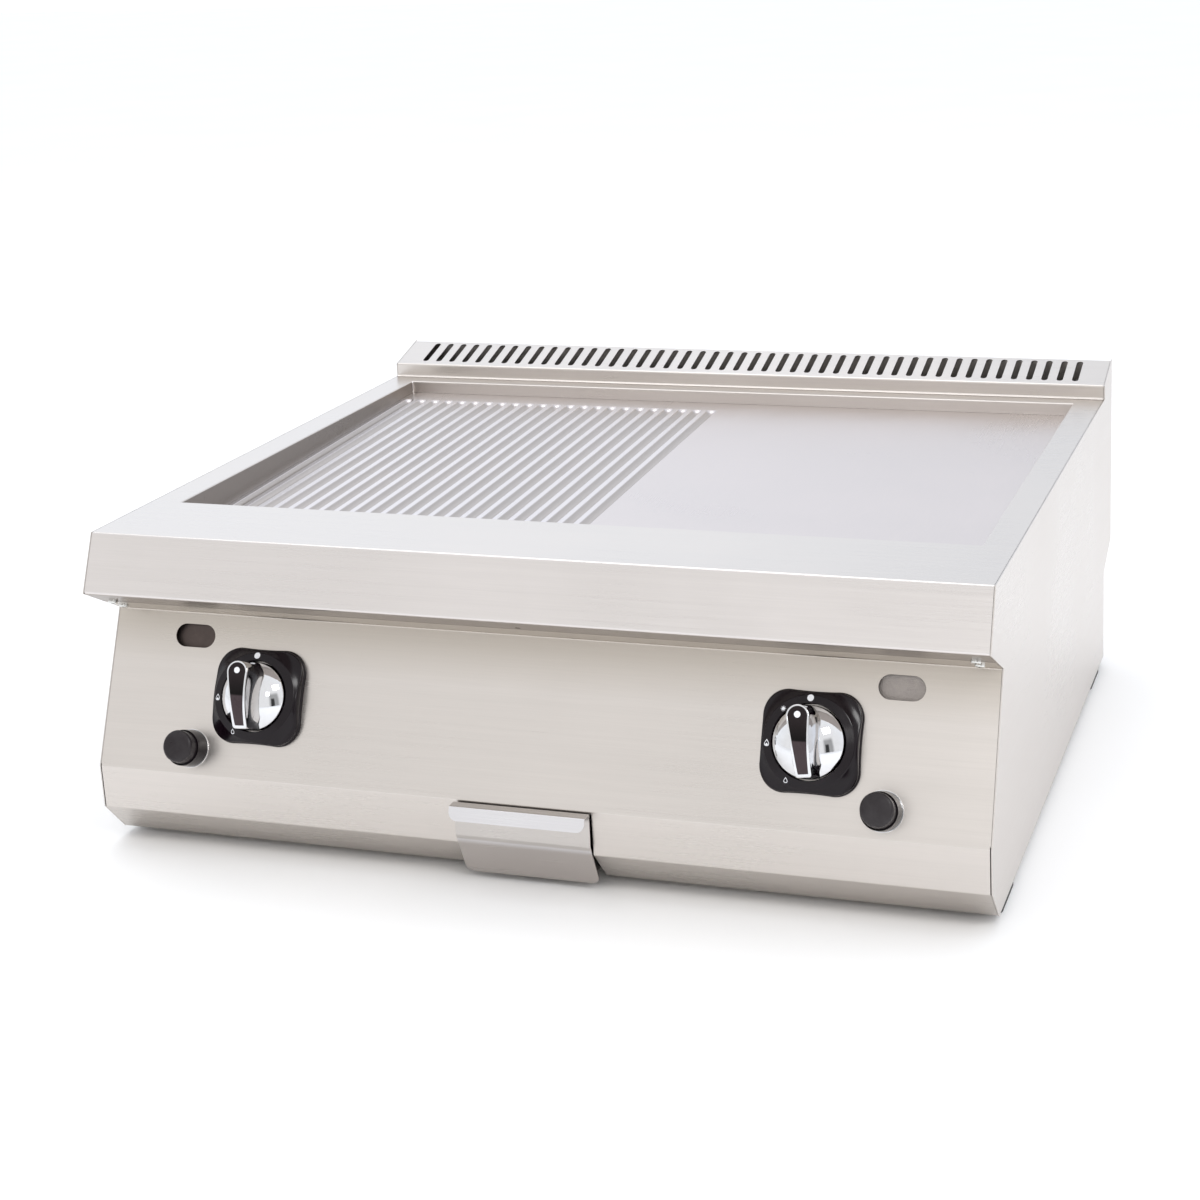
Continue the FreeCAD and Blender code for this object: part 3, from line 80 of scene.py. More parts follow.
# ------------------------------------------------------------------ shader helpers
class Shader:
    """A Principled material that is put together node by node."""

    def __init__(self, name, color=(0.5, 0.5, 0.5), metallic=0.0, roughness=0.5, **sockets):
        self.material = bpy.data.materials.new(name)
        self.material.use_nodes = True
        self.tree = self.material.node_tree
        self.shader = self.tree.nodes["Principled BSDF"]
        self.set("Base Color", color)
        self.set("Metallic", metallic)
        self.set("Roughness", roughness)
        for key, value in sockets.items():
            self.set(key.replace("_", " "), value)
        self.place = self.add("ShaderNodeTexCoord").outputs["Object"]

    def set(self, socket, value):
        if isinstance(value, tuple):
            value = (*value, 1.0)
        self.shader.inputs[socket].default_value = value

    def add(self, kind, **settings):
        node = self.tree.nodes.new(kind)
        for key, value in settings.items():
            setattr(node, key, value)
        return node

    def link(self, output, socket):
        self.tree.links.new(output, socket)

    def mapped(self, scale=(1, 1, 1), shift=(0, 0, 0)):
        node = self.add("ShaderNodeMapping")
        node.inputs["Scale"].default_value = scale
        node.inputs["Location"].default_value = shift
        self.link(self.place, node.inputs["Vector"])
        return node.outputs["Vector"]

    def noise(self, scale, detail=3.0, rough=0.5, stretch=(1, 1, 1), shift=(0, 0, 0), twist=0.0):
        node = self.add("ShaderNodeTexNoise")
        node.inputs["Scale"].default_value = scale
        node.inputs["Detail"].default_value = detail
        node.inputs["Roughness"].default_value = rough
        node.inputs["Distortion"].default_value = twist
        self.link(self.mapped(stretch, shift=shift), node.inputs["Vector"])
        return node.outputs["Fac"]

    def span(self, value, low, high, to_low, to_high):
        node = self.add("ShaderNodeMapRange")
        node.inputs["From Min"].default_value = low
        node.inputs["From Max"].default_value = high
        node.inputs["To Min"].default_value = to_low
        node.inputs["To Max"].default_value = to_high
        self.link(value, node.inputs["Value"])
        return node.outputs["Result"]

    def math(self, operation, a, b=0.0):
        node = self.add("ShaderNodeMath", operation=operation)
        for socket, value in zip(node.inputs, (a, b)):
            if isinstance(value, (int, float)):
                socket.default_value = value
            else:
                self.link(value, socket)
        return node.outputs["Value"]

    def mix(self, factor, a, b):
        node = self.add("ShaderNodeMix", data_type="RGBA")
        for socket, value in ((node.inputs[0], factor), (node.inputs[6], a), (node.inputs[7], b)):
            if isinstance(value, tuple):
                socket.default_value = (*value, 1.0)
            elif isinstance(value, (int, float)):
                socket.default_value = value
            else:
                self.link(value, socket)
        return node.outputs[2]

    def axis(self, name):
        """One coordinate of the place in the object's frame, in metres."""
        node = self.add("ShaderNodeSeparateXYZ")
        self.link(self.place, node.inputs[0])
        return node.outputs[name.upper()]

    def darker(self, color, factor):
        node = self.add("ShaderNodeMix", data_type="RGBA", blend_type="MULTIPLY")
        node.inputs[0].default_value = 1.0
        self.link(color, node.inputs[6])
        node.inputs[7].default_value = (*factor, 1.0)
        return node.outputs[2]

    def inside(self, low, high, feather):
        """1 inside a box of the object's frame, 0 outside; None leaves a side open."""
        mask = 1.0
        for name, start, end in zip("xyz", low, high):
            if start is not None:
                mask = self.math("MULTIPLY", self.span(self.axis(name), start - feather, start, 0, 1), mask)
            if end is not None:
                mask = self.math("MULTIPLY", self.span(self.axis(name), end, end + feather, 1, 0), mask)
        return mask

    def bump(self, height, distance, strength=1.0):
        node = self.add("ShaderNodeBump")
        node.inputs["Distance"].default_value = distance
        node.inputs["Strength"].default_value = strength
        self.link(height, node.inputs["Height"])
        self.link(node.outputs["Normal"], self.shader.inputs["Normal"])


def shade(color, factor):
    return tuple(min(1.0, c * factor) for c in color)


# ------------------------------------------------------------------ metals
def brushed(name, color, along, roughness, streak=0.03, cloud=0.02, depth=0.000008, painted_light_zones=()):
    """Sheet with a fine straight grain along one axis and faint clouds of handling.

    zones are (low, high, feather, factor): boxes in which the sheet's colour is multiplied by factor, which
    paints shade where factor is below 1 and light where it is above.
    """
    s = Shader(name, color, 1.0, roughness)
    fine = tuple(0.012 if axis == along else 1.0 for axis in "xyz")
    long = tuple(0.004 if axis == along else 1.0 for axis in "xyz")
    grain = s.noise(1400, 2.0, 0.6, fine)
    coarse = s.noise(300, 3.0, 0.55, long, shift=(3, 5, 7))
    haze = s.noise(5.5, 3.0, 0.5, shift=(1, 2, 3), twist=0.4)
    lines = s.math("ADD", s.math("MULTIPLY", grain, 0.55), s.math("MULTIPLY", coarse, 0.45))
    tone = s.math(
        "ADD", s.span(lines, 0.3, 0.7, 1 - streak, 1 + streak), s.span(haze, 0.3, 0.7, -cloud, cloud)
    )
    low, high = shade(color, 0.8), shade(color, 1.2)
    tint = s.mix(s.span(tone, 0.8, 1.2, 0.0, 1.0), low, high)
    # Each zone paints shade (factor below 1) or light (factor above 1) inside its box.
    for low_corner, high_corner, feather, factor in painted_light_zones:
        tint = s.mix(s.inside(low_corner, high_corner, feather), tint, s.darker(tint, factor))
    s.link(tint, s.shader.inputs["Base Color"])
    spread = s.math("ADD", s.span(lines, 0.3, 0.7, -0.05, 0.05), s.span(haze, 0.3, 0.7, -0.03, 0.05))
    s.link(s.math("ADD", spread, roughness), s.shader.inputs["Roughness"])
    s.bump(lines, depth)
    return s.material


def ground_plate(name, color, roughness):
    """The cooking plate: ground along its depth, polished, duller in the milled grooves, which also carry
    painted shade.
    """
    s = Shader(name, color, 1.0, roughness)
    grain = s.noise(900, 2.0, 0.6, (1.0, 0.02, 1.0))
    haze = s.noise(4.0, 4.0, 0.55, shift=(4, 1, 0), twist=0.8)
    cut = s.noise(2200, 2.0, 0.5, (1.0, 0.01, 1.0), shift=(2, 0, 0))
    turn = s.math("FRACT", s.math("ADD", s.math("DIVIDE", s.axis("x"), RIB_PITCH), RIB_PHASE))
    off = s.math("ABSOLUTE", s.math("SUBTRACT", turn, 0.5))
    groove = s.math("MULTIPLY", s.span(off, 0.30, 0.35, 1, 0), s.span(s.axis("x"), -0.0035, -0.0025, 1, 0))
    groove = s.math("MULTIPLY", groove, s.span(s.axis("y"), RIB_BACK_Y - 0.006, RIB_BACK_Y, 1, 0))
    groove = s.math("MULTIPLY", groove, s.span(s.axis("y"), RIB_FRONT_Y, RIB_FRONT_Y + 0.002, 0, 1))
    tone = s.math("ADD", s.span(grain, 0.3, 0.7, 0.985, 1.015), s.span(haze, 0.3, 0.7, -0.025, 0.025))
    tint = s.mix(s.span(tone, 0.8, 1.2, 0, 1), shade(color, 0.8), shade(color, 1.2))
    # Painted shade in the grooves: their colour is multiplied darker; the cut noise below mixes in the
    # milled texture.
    milled_and_shaded = s.darker(tint, (0.71, 0.705, 0.68))
    milled_and_shaded = s.mix(s.span(cut, 0.3, 0.7, 0, 0.3), milled_and_shaded, s.darker(tint, (0.86, 0.86, 0.85)))
    # Painted reflection: the ribbed half of the plate is made lighter and cooler.
    painted_rib_sheen = s.inside((None, None, None), (-0.003, RIB_BACK_Y, None), 0.001)
    tint = s.mix(painted_rib_sheen, tint, s.darker(tint, (1.10, 1.13, 1.16)))
    s.link(s.mix(groove, tint, milled_and_shaded), s.shader.inputs["Base Color"])
    spread = s.math("ADD", s.span(grain, 0.3, 0.7, -0.02, 0.02), s.span(haze, 0.3, 0.7, -0.03, 0.04))
    spread = s.math("ADD", spread, s.math("MULTIPLY", groove, 0.06))
    s.link(s.math("ADD", spread, roughness), s.shader.inputs["Roughness"])
    s.bump(grain, 0.000004)
    return s.material


def plain_metal(name, color, roughness, scale=60.0, depth=0.00005, spots=0.06):
    """Galvanised, cast, drawn or plated metal: soft mottling and fine unevenness."""
    s = Shader(name, color, 1.0, roughness)
    mottle = s.noise(scale, 4.0, 0.6, twist=0.5)
    fine = s.noise(scale * 14, 2.0, 0.6)
    s.link(
        s.mix(s.span(mottle, 0.3, 0.7, 0, 1), shade(color, 1 - spots), shade(color, 1 + spots)),
        s.shader.inputs["Base Color"],
    )
    s.link(s.span(mottle, 0.3, 0.7, roughness - 0.07, roughness + 0.07), s.shader.inputs["Roughness"])
    s.bump(s.math("ADD", fine, mottle), depth)
    return s.material


def chrome(name, color, roughness):
    """Plated plastic: a mirror with a barely uneven skin."""
    s = Shader(name, color, 1.0, roughness)
    skin = s.noise(90, 3.0, 0.5)
    wipe = s.noise(220, 3.0, 0.6, (1, 0.3, 1), twist=0.5)
    s.link(s.span(wipe, 0.35, 0.75, roughness, roughness + 0.05), s.shader.inputs["Roughness"])
    s.link(
        s.mix(s.span(wipe, 0.3, 0.7, 0, 1), shade(color, 0.97), shade(color, 1.03)),
        s.shader.inputs["Base Color"],
    )
    s.bump(skin, 0.00004)
    return s.material


# ------------------------------------------------------------------ plastics and the rest
def plastic(name, color, roughness, grain=0.00003, scale=1500.0, dust=0.03, **sockets):
    """Moulded plastic or rubber: fine spark-eroded grain, slight dust and uneven sheen."""
    s = Shader(name, color, 0.0, roughness, **sockets)
    pores = s.noise(scale, 3.0, 0.6)
    cloud = s.noise(45, 4.0, 0.6, twist=0.3)
    lighter = tuple(c + dust for c in color)
    s.link(s.mix(s.span(cloud, 0.4, 0.75, 0, 1), color, lighter), s.shader.inputs["Base Color"])
    s.link(s.span(cloud, 0.3, 0.7, roughness - 0.05, roughness + 0.08), s.shader.inputs["Roughness"])
    s.bump(pores, grain)
    return s.material


def pointer_black():
    """Glossy insert of the grip with a painted reflection: deep black at the head, greyer below a painted
    horizon where it turns down.
    """
    s = Shader("pointer_black", (0.02, 0.016, 0.017), 0.0, 0.3, Specular_IOR_Level=0.12)
    cloud = s.noise(60, 3.0, 0.6)
    # Painted reflection: a horizon line at a fixed height, darkest just above it and greyer below it.
    head = s.mix(s.span(s.axis("z"), 0.163, 0.178, 0, 1), (0.003, 0.002, 0.002), (0.017, 0.012, 0.013))
    low = s.mix(s.span(cloud, 0.3, 0.7, 0, 1), (0.050, 0.036, 0.040), (0.058, 0.044, 0.048))
    s.link(s.mix(s.span(s.axis("z"), 0.1605, 0.1618, 0, 1), low, head), s.shader.inputs["Base Color"])
    s.link(s.span(cloud, 0.3, 0.7, 0.25, 0.34), s.shader.inputs["Roughness"])
    return s.material


STEEL = (0.665, 0.625, 0.592)
WORKTOP_Z = 0.2885
RIB_PITCH = 0.016
RIB_PHASE = 0.0085 / RIB_PITCH + 0.5
RIB_FRONT_Y = -0.199
RIB_BACK_Y = 0.264
# Painted shade: the band under the worktop's front lip is darkened.
PAINTED_SHADE_UNDER_LIP = ((None, None, 0.2095), (None, -0.25, 0.2378), 0.001, (0.51, 0.48, 0.462))
# Painted shadow of the lip: the control panel darkens towards its top edge.
PAINTED_LIP_SHADOW_ON_PANEL = ((None, None, 0.199), (None, None, 0.2085), 0.034, (0.82, 0.80, 0.76))
# Painted shade: the well's left inner wall is darkened to half.
PAINTED_SHADE_WELL_LEFT = ((-0.3740, -0.226, 0.15), (-0.3701, 0.2925, WORKTOP_Z - 0.0012), 0.0003, (0.50, 0.49, 0.48))
# Painted light and reflection: the lip's front face is made lighter and cooler.
PAINTED_LIGHT_LIP_FACE = ((None, None, 0.2388), (None, -0.3318, 0.2876), 0.0006, (1.06, 1.07, 1.10))
# Painted shade: the downward-facing toe at the foot of the front is darkened.
PAINTED_SHADE_TOE = ((None, None, None), (None, None, 0.0385), 0.001, (0.83, 0.82, 0.81))
# Painted shade: the lower front band is darkened slightly.
PAINTED_SHADE_BAND = ((None, None, 0.0395), (None, None, 0.0775), 0.0005, (0.96, 0.955, 0.95))
# Painted shade: the tray's front plate is darkened against its handle lip.
PAINTED_SHADE_TRAY_PLATE = ((None, -0.3680, None), (None, -0.3570, None), 0.0008, (0.76, 0.73, 0.68))
# Painted shade: the tray's parts behind its front plate, inside the cabinet, are darkened.
PAINTED_SHADE_TRAY_SKIRT = ((None, -0.3540, None), (None, None, None), 0.003, (0.64, 0.60, 0.555))
LOOKS = {
    "stainless": brushed("sheet_along_x", STEEL, "x", 0.30, painted_light_zones=(PAINTED_SHADE_UNDER_LIP,)),
    "worktop": brushed("worktop_sheet", STEEL, "x", 0.30, painted_light_zones=(PAINTED_SHADE_UNDER_LIP, PAINTED_SHADE_WELL_LEFT, PAINTED_LIGHT_LIP_FACE)),
    "panel": brushed("panel_sheet", STEEL, "x", 0.30, painted_light_zones=(PAINTED_LIP_SHADOW_ON_PANEL, PAINTED_SHADE_BAND, PAINTED_SHADE_TOE)),
    # Side sheets: grain along y, and the steel colour a little darker, which is painted shade.
    "side": brushed("shaded_sheet_along_y", (0.635, 0.595, 0.565), "y", 0.30, depth=0.000003),
    # Tray sheet: a lighter, cooler copy of the steel colour, which is a painted reflection; the plate and
    # skirt zones darken it again.
    "tray": brushed("tray_sheet_painted_sheen", (0.74, 0.73, 0.75), "x", 0.22, painted_light_zones=(PAINTED_SHADE_TRAY_PLATE, PAINTED_SHADE_TRAY_SKIRT)),
    "plate": ground_plate("cooking_plate", (0.645, 0.595, 0.583), 0.30),
    "galvanised": plain_metal("galvanised", (0.55, 0.56, 0.57), 0.45, 40.0, spots=0.12),
    "burner_steel": plain_metal("burner_steel", (0.36, 0.34, 0.32), 0.42, 50.0, spots=0.1),
    "zinc": plain_metal("zinc_plate", (0.72, 0.72, 0.70), 0.25, 160.0, 0.00002, 0.05),
    "chrome": chrome("chrome", (0.76, 0.765, 0.785), 0.03),
    "black_gloss": plastic(
        "black_gloss", (0.005, 0.002, 0.004), 0.17, 0.000003, dust=0.002, Specular_IOR_Level=0.28
    ),
    "insert": pointer_black(),
    "black_matte": plastic(
        "black_matte", (0.012, 0.008, 0.010), 0.32, 0.00004, 900.0, dust=0.02, Specular_IOR_Level=0.32
    ),
    "rubber": plastic("rubber", (0.025, 0.025, 0.026), 0.7, 0.00006, 700.0, dust=0.03),
    "brass": plain_metal("turned_brass", (0.62, 0.47, 0.22), 0.3, 120.0, 0.00002, 0.08),
    "aluminium_tube": plain_metal("aluminium", (0.68, 0.69, 0.70), 0.36, 120.0, 0.00003, 0.05),
    "copper_lead": plain_metal("copper", (0.64, 0.36, 0.24), 0.34, 140.0, 0.00002, 0.1),
    "ceramic": plastic("ceramic", (0.78, 0.76, 0.71), 0.18, 0.00001, 500.0, 0.02, Coat_Weight=0.4),
    "lead_sleeve": plastic("silicone", (0.50, 0.12, 0.07), 0.5, 0.00002, 900.0, 0.04),
    "print": plastic("white_print", (0.80, 0.81, 0.84), 0.4, 0.000002, 1200.0, 0.03),
    "shade": plain_metal("shaded_sheet", (0.115, 0.092, 0.085), 0.5, 60.0, spots=0.15),
    "sight": plain_metal("sight_sheet", (0.40, 0.365, 0.345), 0.5, 130.0, 0.0003, spots=0.14),
    "weld": plain_metal("weld_bead", (0.74, 0.72, 0.70), 0.2, 400.0, 0.00004, 0.05),
}
LOOKS["tray_stainless"] = LOOKS["tray"]
LOOKS["plate_steel"] = LOOKS["plate"]
NODE_LOOKS = {
    "side_panel_left": "side",
    "side_panel_right": "side",
    "worktop": "worktop",
    "control_panel": "panel",
    "igniter_body_left": "black_gloss",
    "igniter_body_right": "black_gloss",
}


# ------------------------------------------------------------------ places on the leaning panel
LEAN = math.atan2(55.5, 131.0)
CREASE = Vector((0, -0.354439, 0.078))
PANEL_UP = Vector((0, math.sin(LEAN), math.cos(LEAN)))
PANEL_OUT = Vector((0, -math.cos(LEAN), math.sin(LEAN)))
MM = 0.001


def on_panel(x, v, turn=0.0):
    """Matrix from (right, up, out) in millimetres round a point of the panel to the row frame."""
    c, s = math.cos(math.radians(turn)), math.sin(math.radians(turn))
    right = Vector((1, 0, 0))
    axes = [right * c + PANEL_UP * s, PANEL_UP * c - right * s, PANEL_OUT]
    matrix = Matrix([a * MM for a in axes]).transposed().to_4x4()
    matrix.translation = CREASE + Vector((x * MM, 0, 0)) + PANEL_UP * (v * MM)
    return matrix


def make_piece(name, points, faces, matrix, look, body, smooth=True):
    """Mesh piece from local points, placed by a matrix, that rides on a body."""
    mesh = bpy.data.meshes.new(name)
    mesh.from_pydata([matrix @ Vector(p) for p in points], [], faces)
    work = bmesh.new()
    work.from_mesh(mesh)
    bmesh.ops.recalc_face_normals(work, faces=work.faces)
    work.to_mesh(mesh)
    work.free()
    if smooth:
        mesh.shade_smooth()
        mesh.set_sharp_from_angle(angle=math.radians(38))
    obj = bpy.data.objects.new(name, mesh)
    scene.collection.objects.link(obj)
    dress(obj, look)
    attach(obj, body)
    return obj


def ring_faces(rings, count):
    """Quads between closed rings of points."""
    faces = []
    for r in range(rings - 1):
        for i in range(count):
            k = (i + 1) % count
            faces.append((r * count + i, r * count + k, (r + 1) * count + k, (r + 1) * count + i))
    return faces


def turned(profile, count=72, first=0):
    """Points and faces of a profile of (radius, height) turned round the out axis."""
    points = []
    for radius, height in profile:
        for i in range(count):
            a = 2 * math.pi * i / count
            points.append((radius * math.cos(a), radius * math.sin(a), height))
    return points, [tuple(v + first for v in f) for f in ring_faces(len(profile), count)]


# ------------------------------------------------------------------ knob
SKIRT_R = 29.6
SKIRT_LOW = 6.0
SKIRT_HIGH = 15.0
DOME_TOP = 27.0
DOME_R = (SKIRT_R**2 + (DOME_TOP - SKIRT_HIGH) ** 2) / (2 * (DOME_TOP - SKIRT_HIGH))
GRIP_TOP = 47.0
GRIP_BACK_R = 100.0
DOT_V = 20.6
DOT_R = 2.7
HEAD_V = 19.2
HEAD_R = 9.5
TAIL_V = -28.8
TAIL_HALF = 6.7
KNOBS = {"left": (-249.0, 3.0), "right": (249.0, 7.0)}
KNOB_V = 72.0


def dome_height(radius):
    return DOME_TOP - DOME_R + math.sqrt(DOME_R**2 - min(radius, SKIRT_R) ** 2)


def grip_height(v):
    """Height of the grip's top: level at the head, falling away to the tail."""
    return GRIP_TOP - GRIP_BACK_R + math.sqrt(GRIP_BACK_R**2 - (HEAD_V - v) ** 2)


def grip_half(v):
    """Half width of the grip at v: round head, waisted taper, tail with rounded corners."""
    if v >= HEAD_V:
        return math.sqrt(max(HEAD_R**2 - (v - HEAD_V) ** 2, 0.0))
    share = (HEAD_V - v) / (HEAD_V - TAIL_V)
    half = HEAD_R + (TAIL_HALF - HEAD_R) * share - 0.7 * math.sin(math.pi * share)
    corner = 2.2
    over = corner - (v - TAIL_V)
    if over > 0:
        half -= corner - math.sqrt(max(corner**2 - over**2, 0.0))
    return half


def grip_rows():
    """Places along the grip, closer together where its outline turns."""
    head = [HEAD_V + HEAD_R * math.cos(math.radians(a)) for a in range(6, 91, 6)]
    middle = [HEAD_V + (TAIL_V + 2.2 - HEAD_V) * i / 22 for i in range(1, 23)]
    tail = [TAIL_V + 2.2 * (1 - math.sin(math.radians(a))) for a in range(15, 91, 15)]
    return head + middle + tail


def grip_loop():
    """Outline of the grip as points with outward normals, down the left and up the right."""
    rows = grip_rows()
    left = [(-grip_half(v), v) for v in rows]
    line = [(0.0, HEAD_V + HEAD_R)] + left + [(0.0, TAIL_V)] + [(-u, v) for u, v in reversed(left)]
    loop = []
    for i, (u, v) in enumerate(line):
        before, after = line[i - 1], line[(i + 1) % len(line)]
        du, dv = after[0] - before[0], after[1] - before[1]
        size = math.hypot(du, dv)
        loop.append((u, v, dv / size, -du / size))
    return loop


def rim_share(v):
    """How much wider the chrome rim gets towards the tail."""
    share = max(0.0, (HEAD_V - v) / (HEAD_V - TAIL_V))
    return 1.0 + 0.85 * share**2


def offset_loop(inset, sink, widen=True):
    """The grip's outline moved inwards by inset and down by sink."""
    ring = []
    for u, v, nu, nv in grip_loop():
        step = inset * (rim_share(v) if widen else 1.0)
        ring.append((u - step * nu, v - step * nv, grip_height(v - step * nv) - sink))
    return ring


def knob_points():
    """Rings of the chrome grip from the insert's pocket out over the rim and down to the dome."""
    loop = grip_loop()
    rings = [offset_loop(1.5, 2.0), offset_loop(1.48, 0.3), offset_loop(1.38, 0.06), offset_loop(1.2, 0.0)]
    for inset, sink in ((0.5, 0.0), (0.26, 0.08), (0.08, 0.27), (0.0, 0.6)):
        rings.append(offset_loop(inset, sink, False))
    for t in (0.12, 0.3, 0.5, 0.68, 0.82, 0.92, 1.0):
        ring = []
        for u, v, nu, nv in loop:
            inside = max(0.0, min(1.0, (26.0 - math.hypot(u, v)) / 6.0))
            tail = max(0.0, (HEAD_V - v) / (HEAD_V - TAIL_V)) ** 2
            flare = (0.4 + 1.6 * tail + 3.0 * inside) * t**3 + 0.5 * t
            x, y = u + flare * nu, v + flare * nv
            radius = math.hypot(x, y)
            held = min(1.0, (SKIRT_R - 0.3) / radius)
            foot = dome_height(radius * held) - 0.15
            ring.append((x * held, y * held, (grip_height(v) - 0.6) * (1 - t) + foot * t))
        rings.append(ring)
    sunk = []
    for x, y, _ in rings[-1]:
        radius = math.hypot(x, y)
        shrink = min(1.0, (SKIRT_R - 3.4) / radius)
        sunk.append((x * shrink, y * shrink, dome_height(radius * shrink) - 1.2))
    rings.append(sunk)
    points = [p for ring in rings for p in ring]
    return points, ring_faces(len(rings), len(loop))


def insert_points():
    """The insert between the rims: a slightly domed strip with a skirt into its pocket."""
    loop = offset_loop(1.42, 0.3)
    count = len(loop)
    across = 6
    points, faces = [], []
    for i in range(1, count // 2):
        left, right = loop[i], loop[count - i]
        for k in range(across + 1):
            share = k / across
            u = left[0] + (right[0] - left[0]) * share
            points.append((u, left[1], left[2] + 0.25 * (1 - (2 * share - 1) ** 2)))
    rows = count // 2 - 1
    for r in range(rows - 1):
        for k in range(across):
            a = r * (across + 1) + k
            faces.append((a, a + 1, a + across + 2, a + across + 1))
    edge = [r * (across + 1) for r in range(rows)]
    edge += [(rows - 1) * (across + 1) + k for k in range(1, across)]
    edge += [r * (across + 1) + across for r in reversed(range(rows))]
    edge += list(reversed(range(1, across)))
    first = len(points)
    points += [(points[i][0], points[i][1], points[i][2] - 1.2) for i in edge]
    for i, a in enumerate(edge):
        k = (i + 1) % len(edge)
        faces.append((a, edge[k], first + k, first + i))
    return points, faces


def make_knob(side):
    x, turn = KNOBS[side]
    place = on_panel(x, KNOB_V, turn)
    body = "knob_" + side
    points, faces = knob_points()
    profile = [(0.01, DOME_TOP)] + [
        (SKIRT_R * math.sin(a) * 0.985, dome_height(SKIRT_R * math.sin(a) * 0.985))
        for a in [math.radians(d) for d in range(4, 89, 4)]
    ]
    profile += [(29.45, 14.85), (SKIRT_R, 14.4), (SKIRT_R, SKIRT_LOW + 0.3), (29.3, SKIRT_LOW)]
    profile += [(26.0, SKIRT_LOW), (26.0, 9.0), (9.0, 9.0), (9.0, SKIRT_LOW), (4.2, SKIRT_LOW), (4.2, 20.0)]
    more, quads = turned(profile, 96, len(points))
    shell = make_piece(
        "knob_shell_" + side, points + more, faces + quads, place, "chrome", body
    )
    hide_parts("knob_" + side)
    points, faces = insert_points()
    insert = make_piece("pointer_face_" + side, points, faces, place, "insert", body)
    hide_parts("pointer_insert_" + side)
    points, faces = disc(DOT_R, 0.35)
    points = [(u, v + DOT_V, w + grip_height(DOT_V) - 0.15) for u, v, w in points]
    make_piece("pointer_dot_" + side, points, faces, place, "print", body)


def disc(radius, thick, count=30):
    """Thin round print with a soft edge."""
    points, faces = turned([(radius - 0.25, thick), (radius - 0.05, thick - 0.1), (radius, 0.0)], count, 1)
    return [(0, 0, thick)] + points, [(0, 1 + i, 1 + (i + 1) % count) for i in range(count)] + faces


# ------------------------------------------------------------------ bezel and its marks
BORE_R = 30.9
RING_IN = 31.4
RING_OUT = 38.0
RING_TOP = 14.0
RING_FALL = 0.29
CORNER_CENTRE = 21.0
CORNER_R = 20.0
SIDE_R = 256.0
SIDE_FAR = 296.2
TANGENT = math.radians(25.44)
EDGE_LOW = 6.0


def bezel_reach(angle):
    """Distance of the bezel's outline from its centre: round corners, slightly hollow sides."""
    a = math.fmod(angle, math.pi / 2)
    a = min(a, math.pi / 2 - a)
    c, s = math.cos(a), math.sin(a)
    if a < TANGENT:
        return SIDE_FAR * c - math.sqrt(SIDE_R**2 - (SIDE_FAR * s) ** 2)
    across = CORNER_CENTRE * (c + s)
    return across + math.sqrt(across**2 - 2 * CORNER_CENTRE**2 + CORNER_R**2)


def bezel_height(radius):
    """Ring sloping outwards, then a sweep that runs out towards the corners."""
    if radius < RING_OUT:
        return RING_TOP - RING_FALL * max(0.0, radius - RING_IN)
    high = RING_TOP - RING_FALL * (RING_OUT - RING_IN)
    share = min(1.0, (radius - RING_OUT) / 16.0)
    return EDGE_LOW + (high - EDGE_LOW) * (1 - share) ** 2.2


def make_bezel(side):
    count = 180
    rings = []
    for radius, height in ((BORE_R, 0.0), (BORE_R, RING_TOP - 0.5), (RING_IN - 0.2, RING_TOP - 0.1)):
        rings.append([(radius, height)] * count)
    for radius in (RING_IN, 33.0, 35.0, 36.6, 37.5, RING_OUT):
        rings.append([(radius, bezel_height(radius))] * count)
    reach = [bezel_reach(2 * math.pi * i / count) for i in range(count)]
    for share in (0.08, 0.18, 0.3, 0.45, 0.62, 0.8, 1.0):
        radii = [RING_OUT + (r - 1.1 - RING_OUT) * share for r in reach]
        rings.append([(r, bezel_height(r)) for r in radii])
    low = [bezel_height(r - 1.1) for r in reach]
    for inset, sink in ((0.55, 0.12), (0.2, 0.45), (0.0, 1.0)):
        rings.append([(r - inset, h - sink) for r, h in zip(reach, low)])
    for inset, height in ((0.0, 3.4), (0.45, 3.1), (0.45, 2.7), (-0.7, 2.3), (-1.0, 1.8), (-1.0, 0.0)):
        rings.append([(r - inset, height) for r in reach])
    points = []
    for ring in rings:
        for i, (r, w) in enumerate(ring):
            a = 2 * math.pi * i / count
            points.append((r * math.cos(a), r * math.sin(a), w))
    place = on_panel(KNOBS[side][0], KNOB_V)
    faces = ring_faces(len(rings), count)
    bezel = make_piece("surround_" + side, points, faces, place, "black_gloss", "cabinet")
    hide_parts("bezel_" + side)
    for name, centre, outline, hole in MARKS:
        make_mark(name + "_mark_" + side, centre, outline, hole, place)


def star(spikes, outer, inner):
    turns = [math.pi * i / spikes for i in range(2 * spikes)]
    return [
        ((outer, inner)[i % 2] * math.sin(a), (outer, inner)[i % 2] * math.cos(a))
        for i, a in enumerate(turns)
    ]


def drop(width, height, lift=0.0, count=28):
    """Flame: a drop with its point upwards."""
    turns = [2 * math.pi * i / count for i in range(count)]
    return [(width * math.sin(a) * math.sin(a / 2) ** 1.3, height * math.cos(a) + lift) for a in turns]


def make_mark(name, centre, outline, hole, place):
    """White print that lies on the bezel: filled, or a line between an outline and its hole."""
    def lifted(shape):
        spots = [(u + centre[0], v + centre[1]) for u, v in shape]
        return [(u, v, bezel_height(math.hypot(u, v)) + 0.12) for u, v in spots]

    count = len(outline)
    if hole:
        points = lifted(outline) + lifted(hole)
        faces = ring_faces(2, count)
    else:
        points = lifted([(0, 0)]) + lifted(outline)
        faces = [(0, 1 + i, 1 + (i + 1) % count) for i in range(count)]
    make_piece(name, points, faces, place, "print", "cabinet")


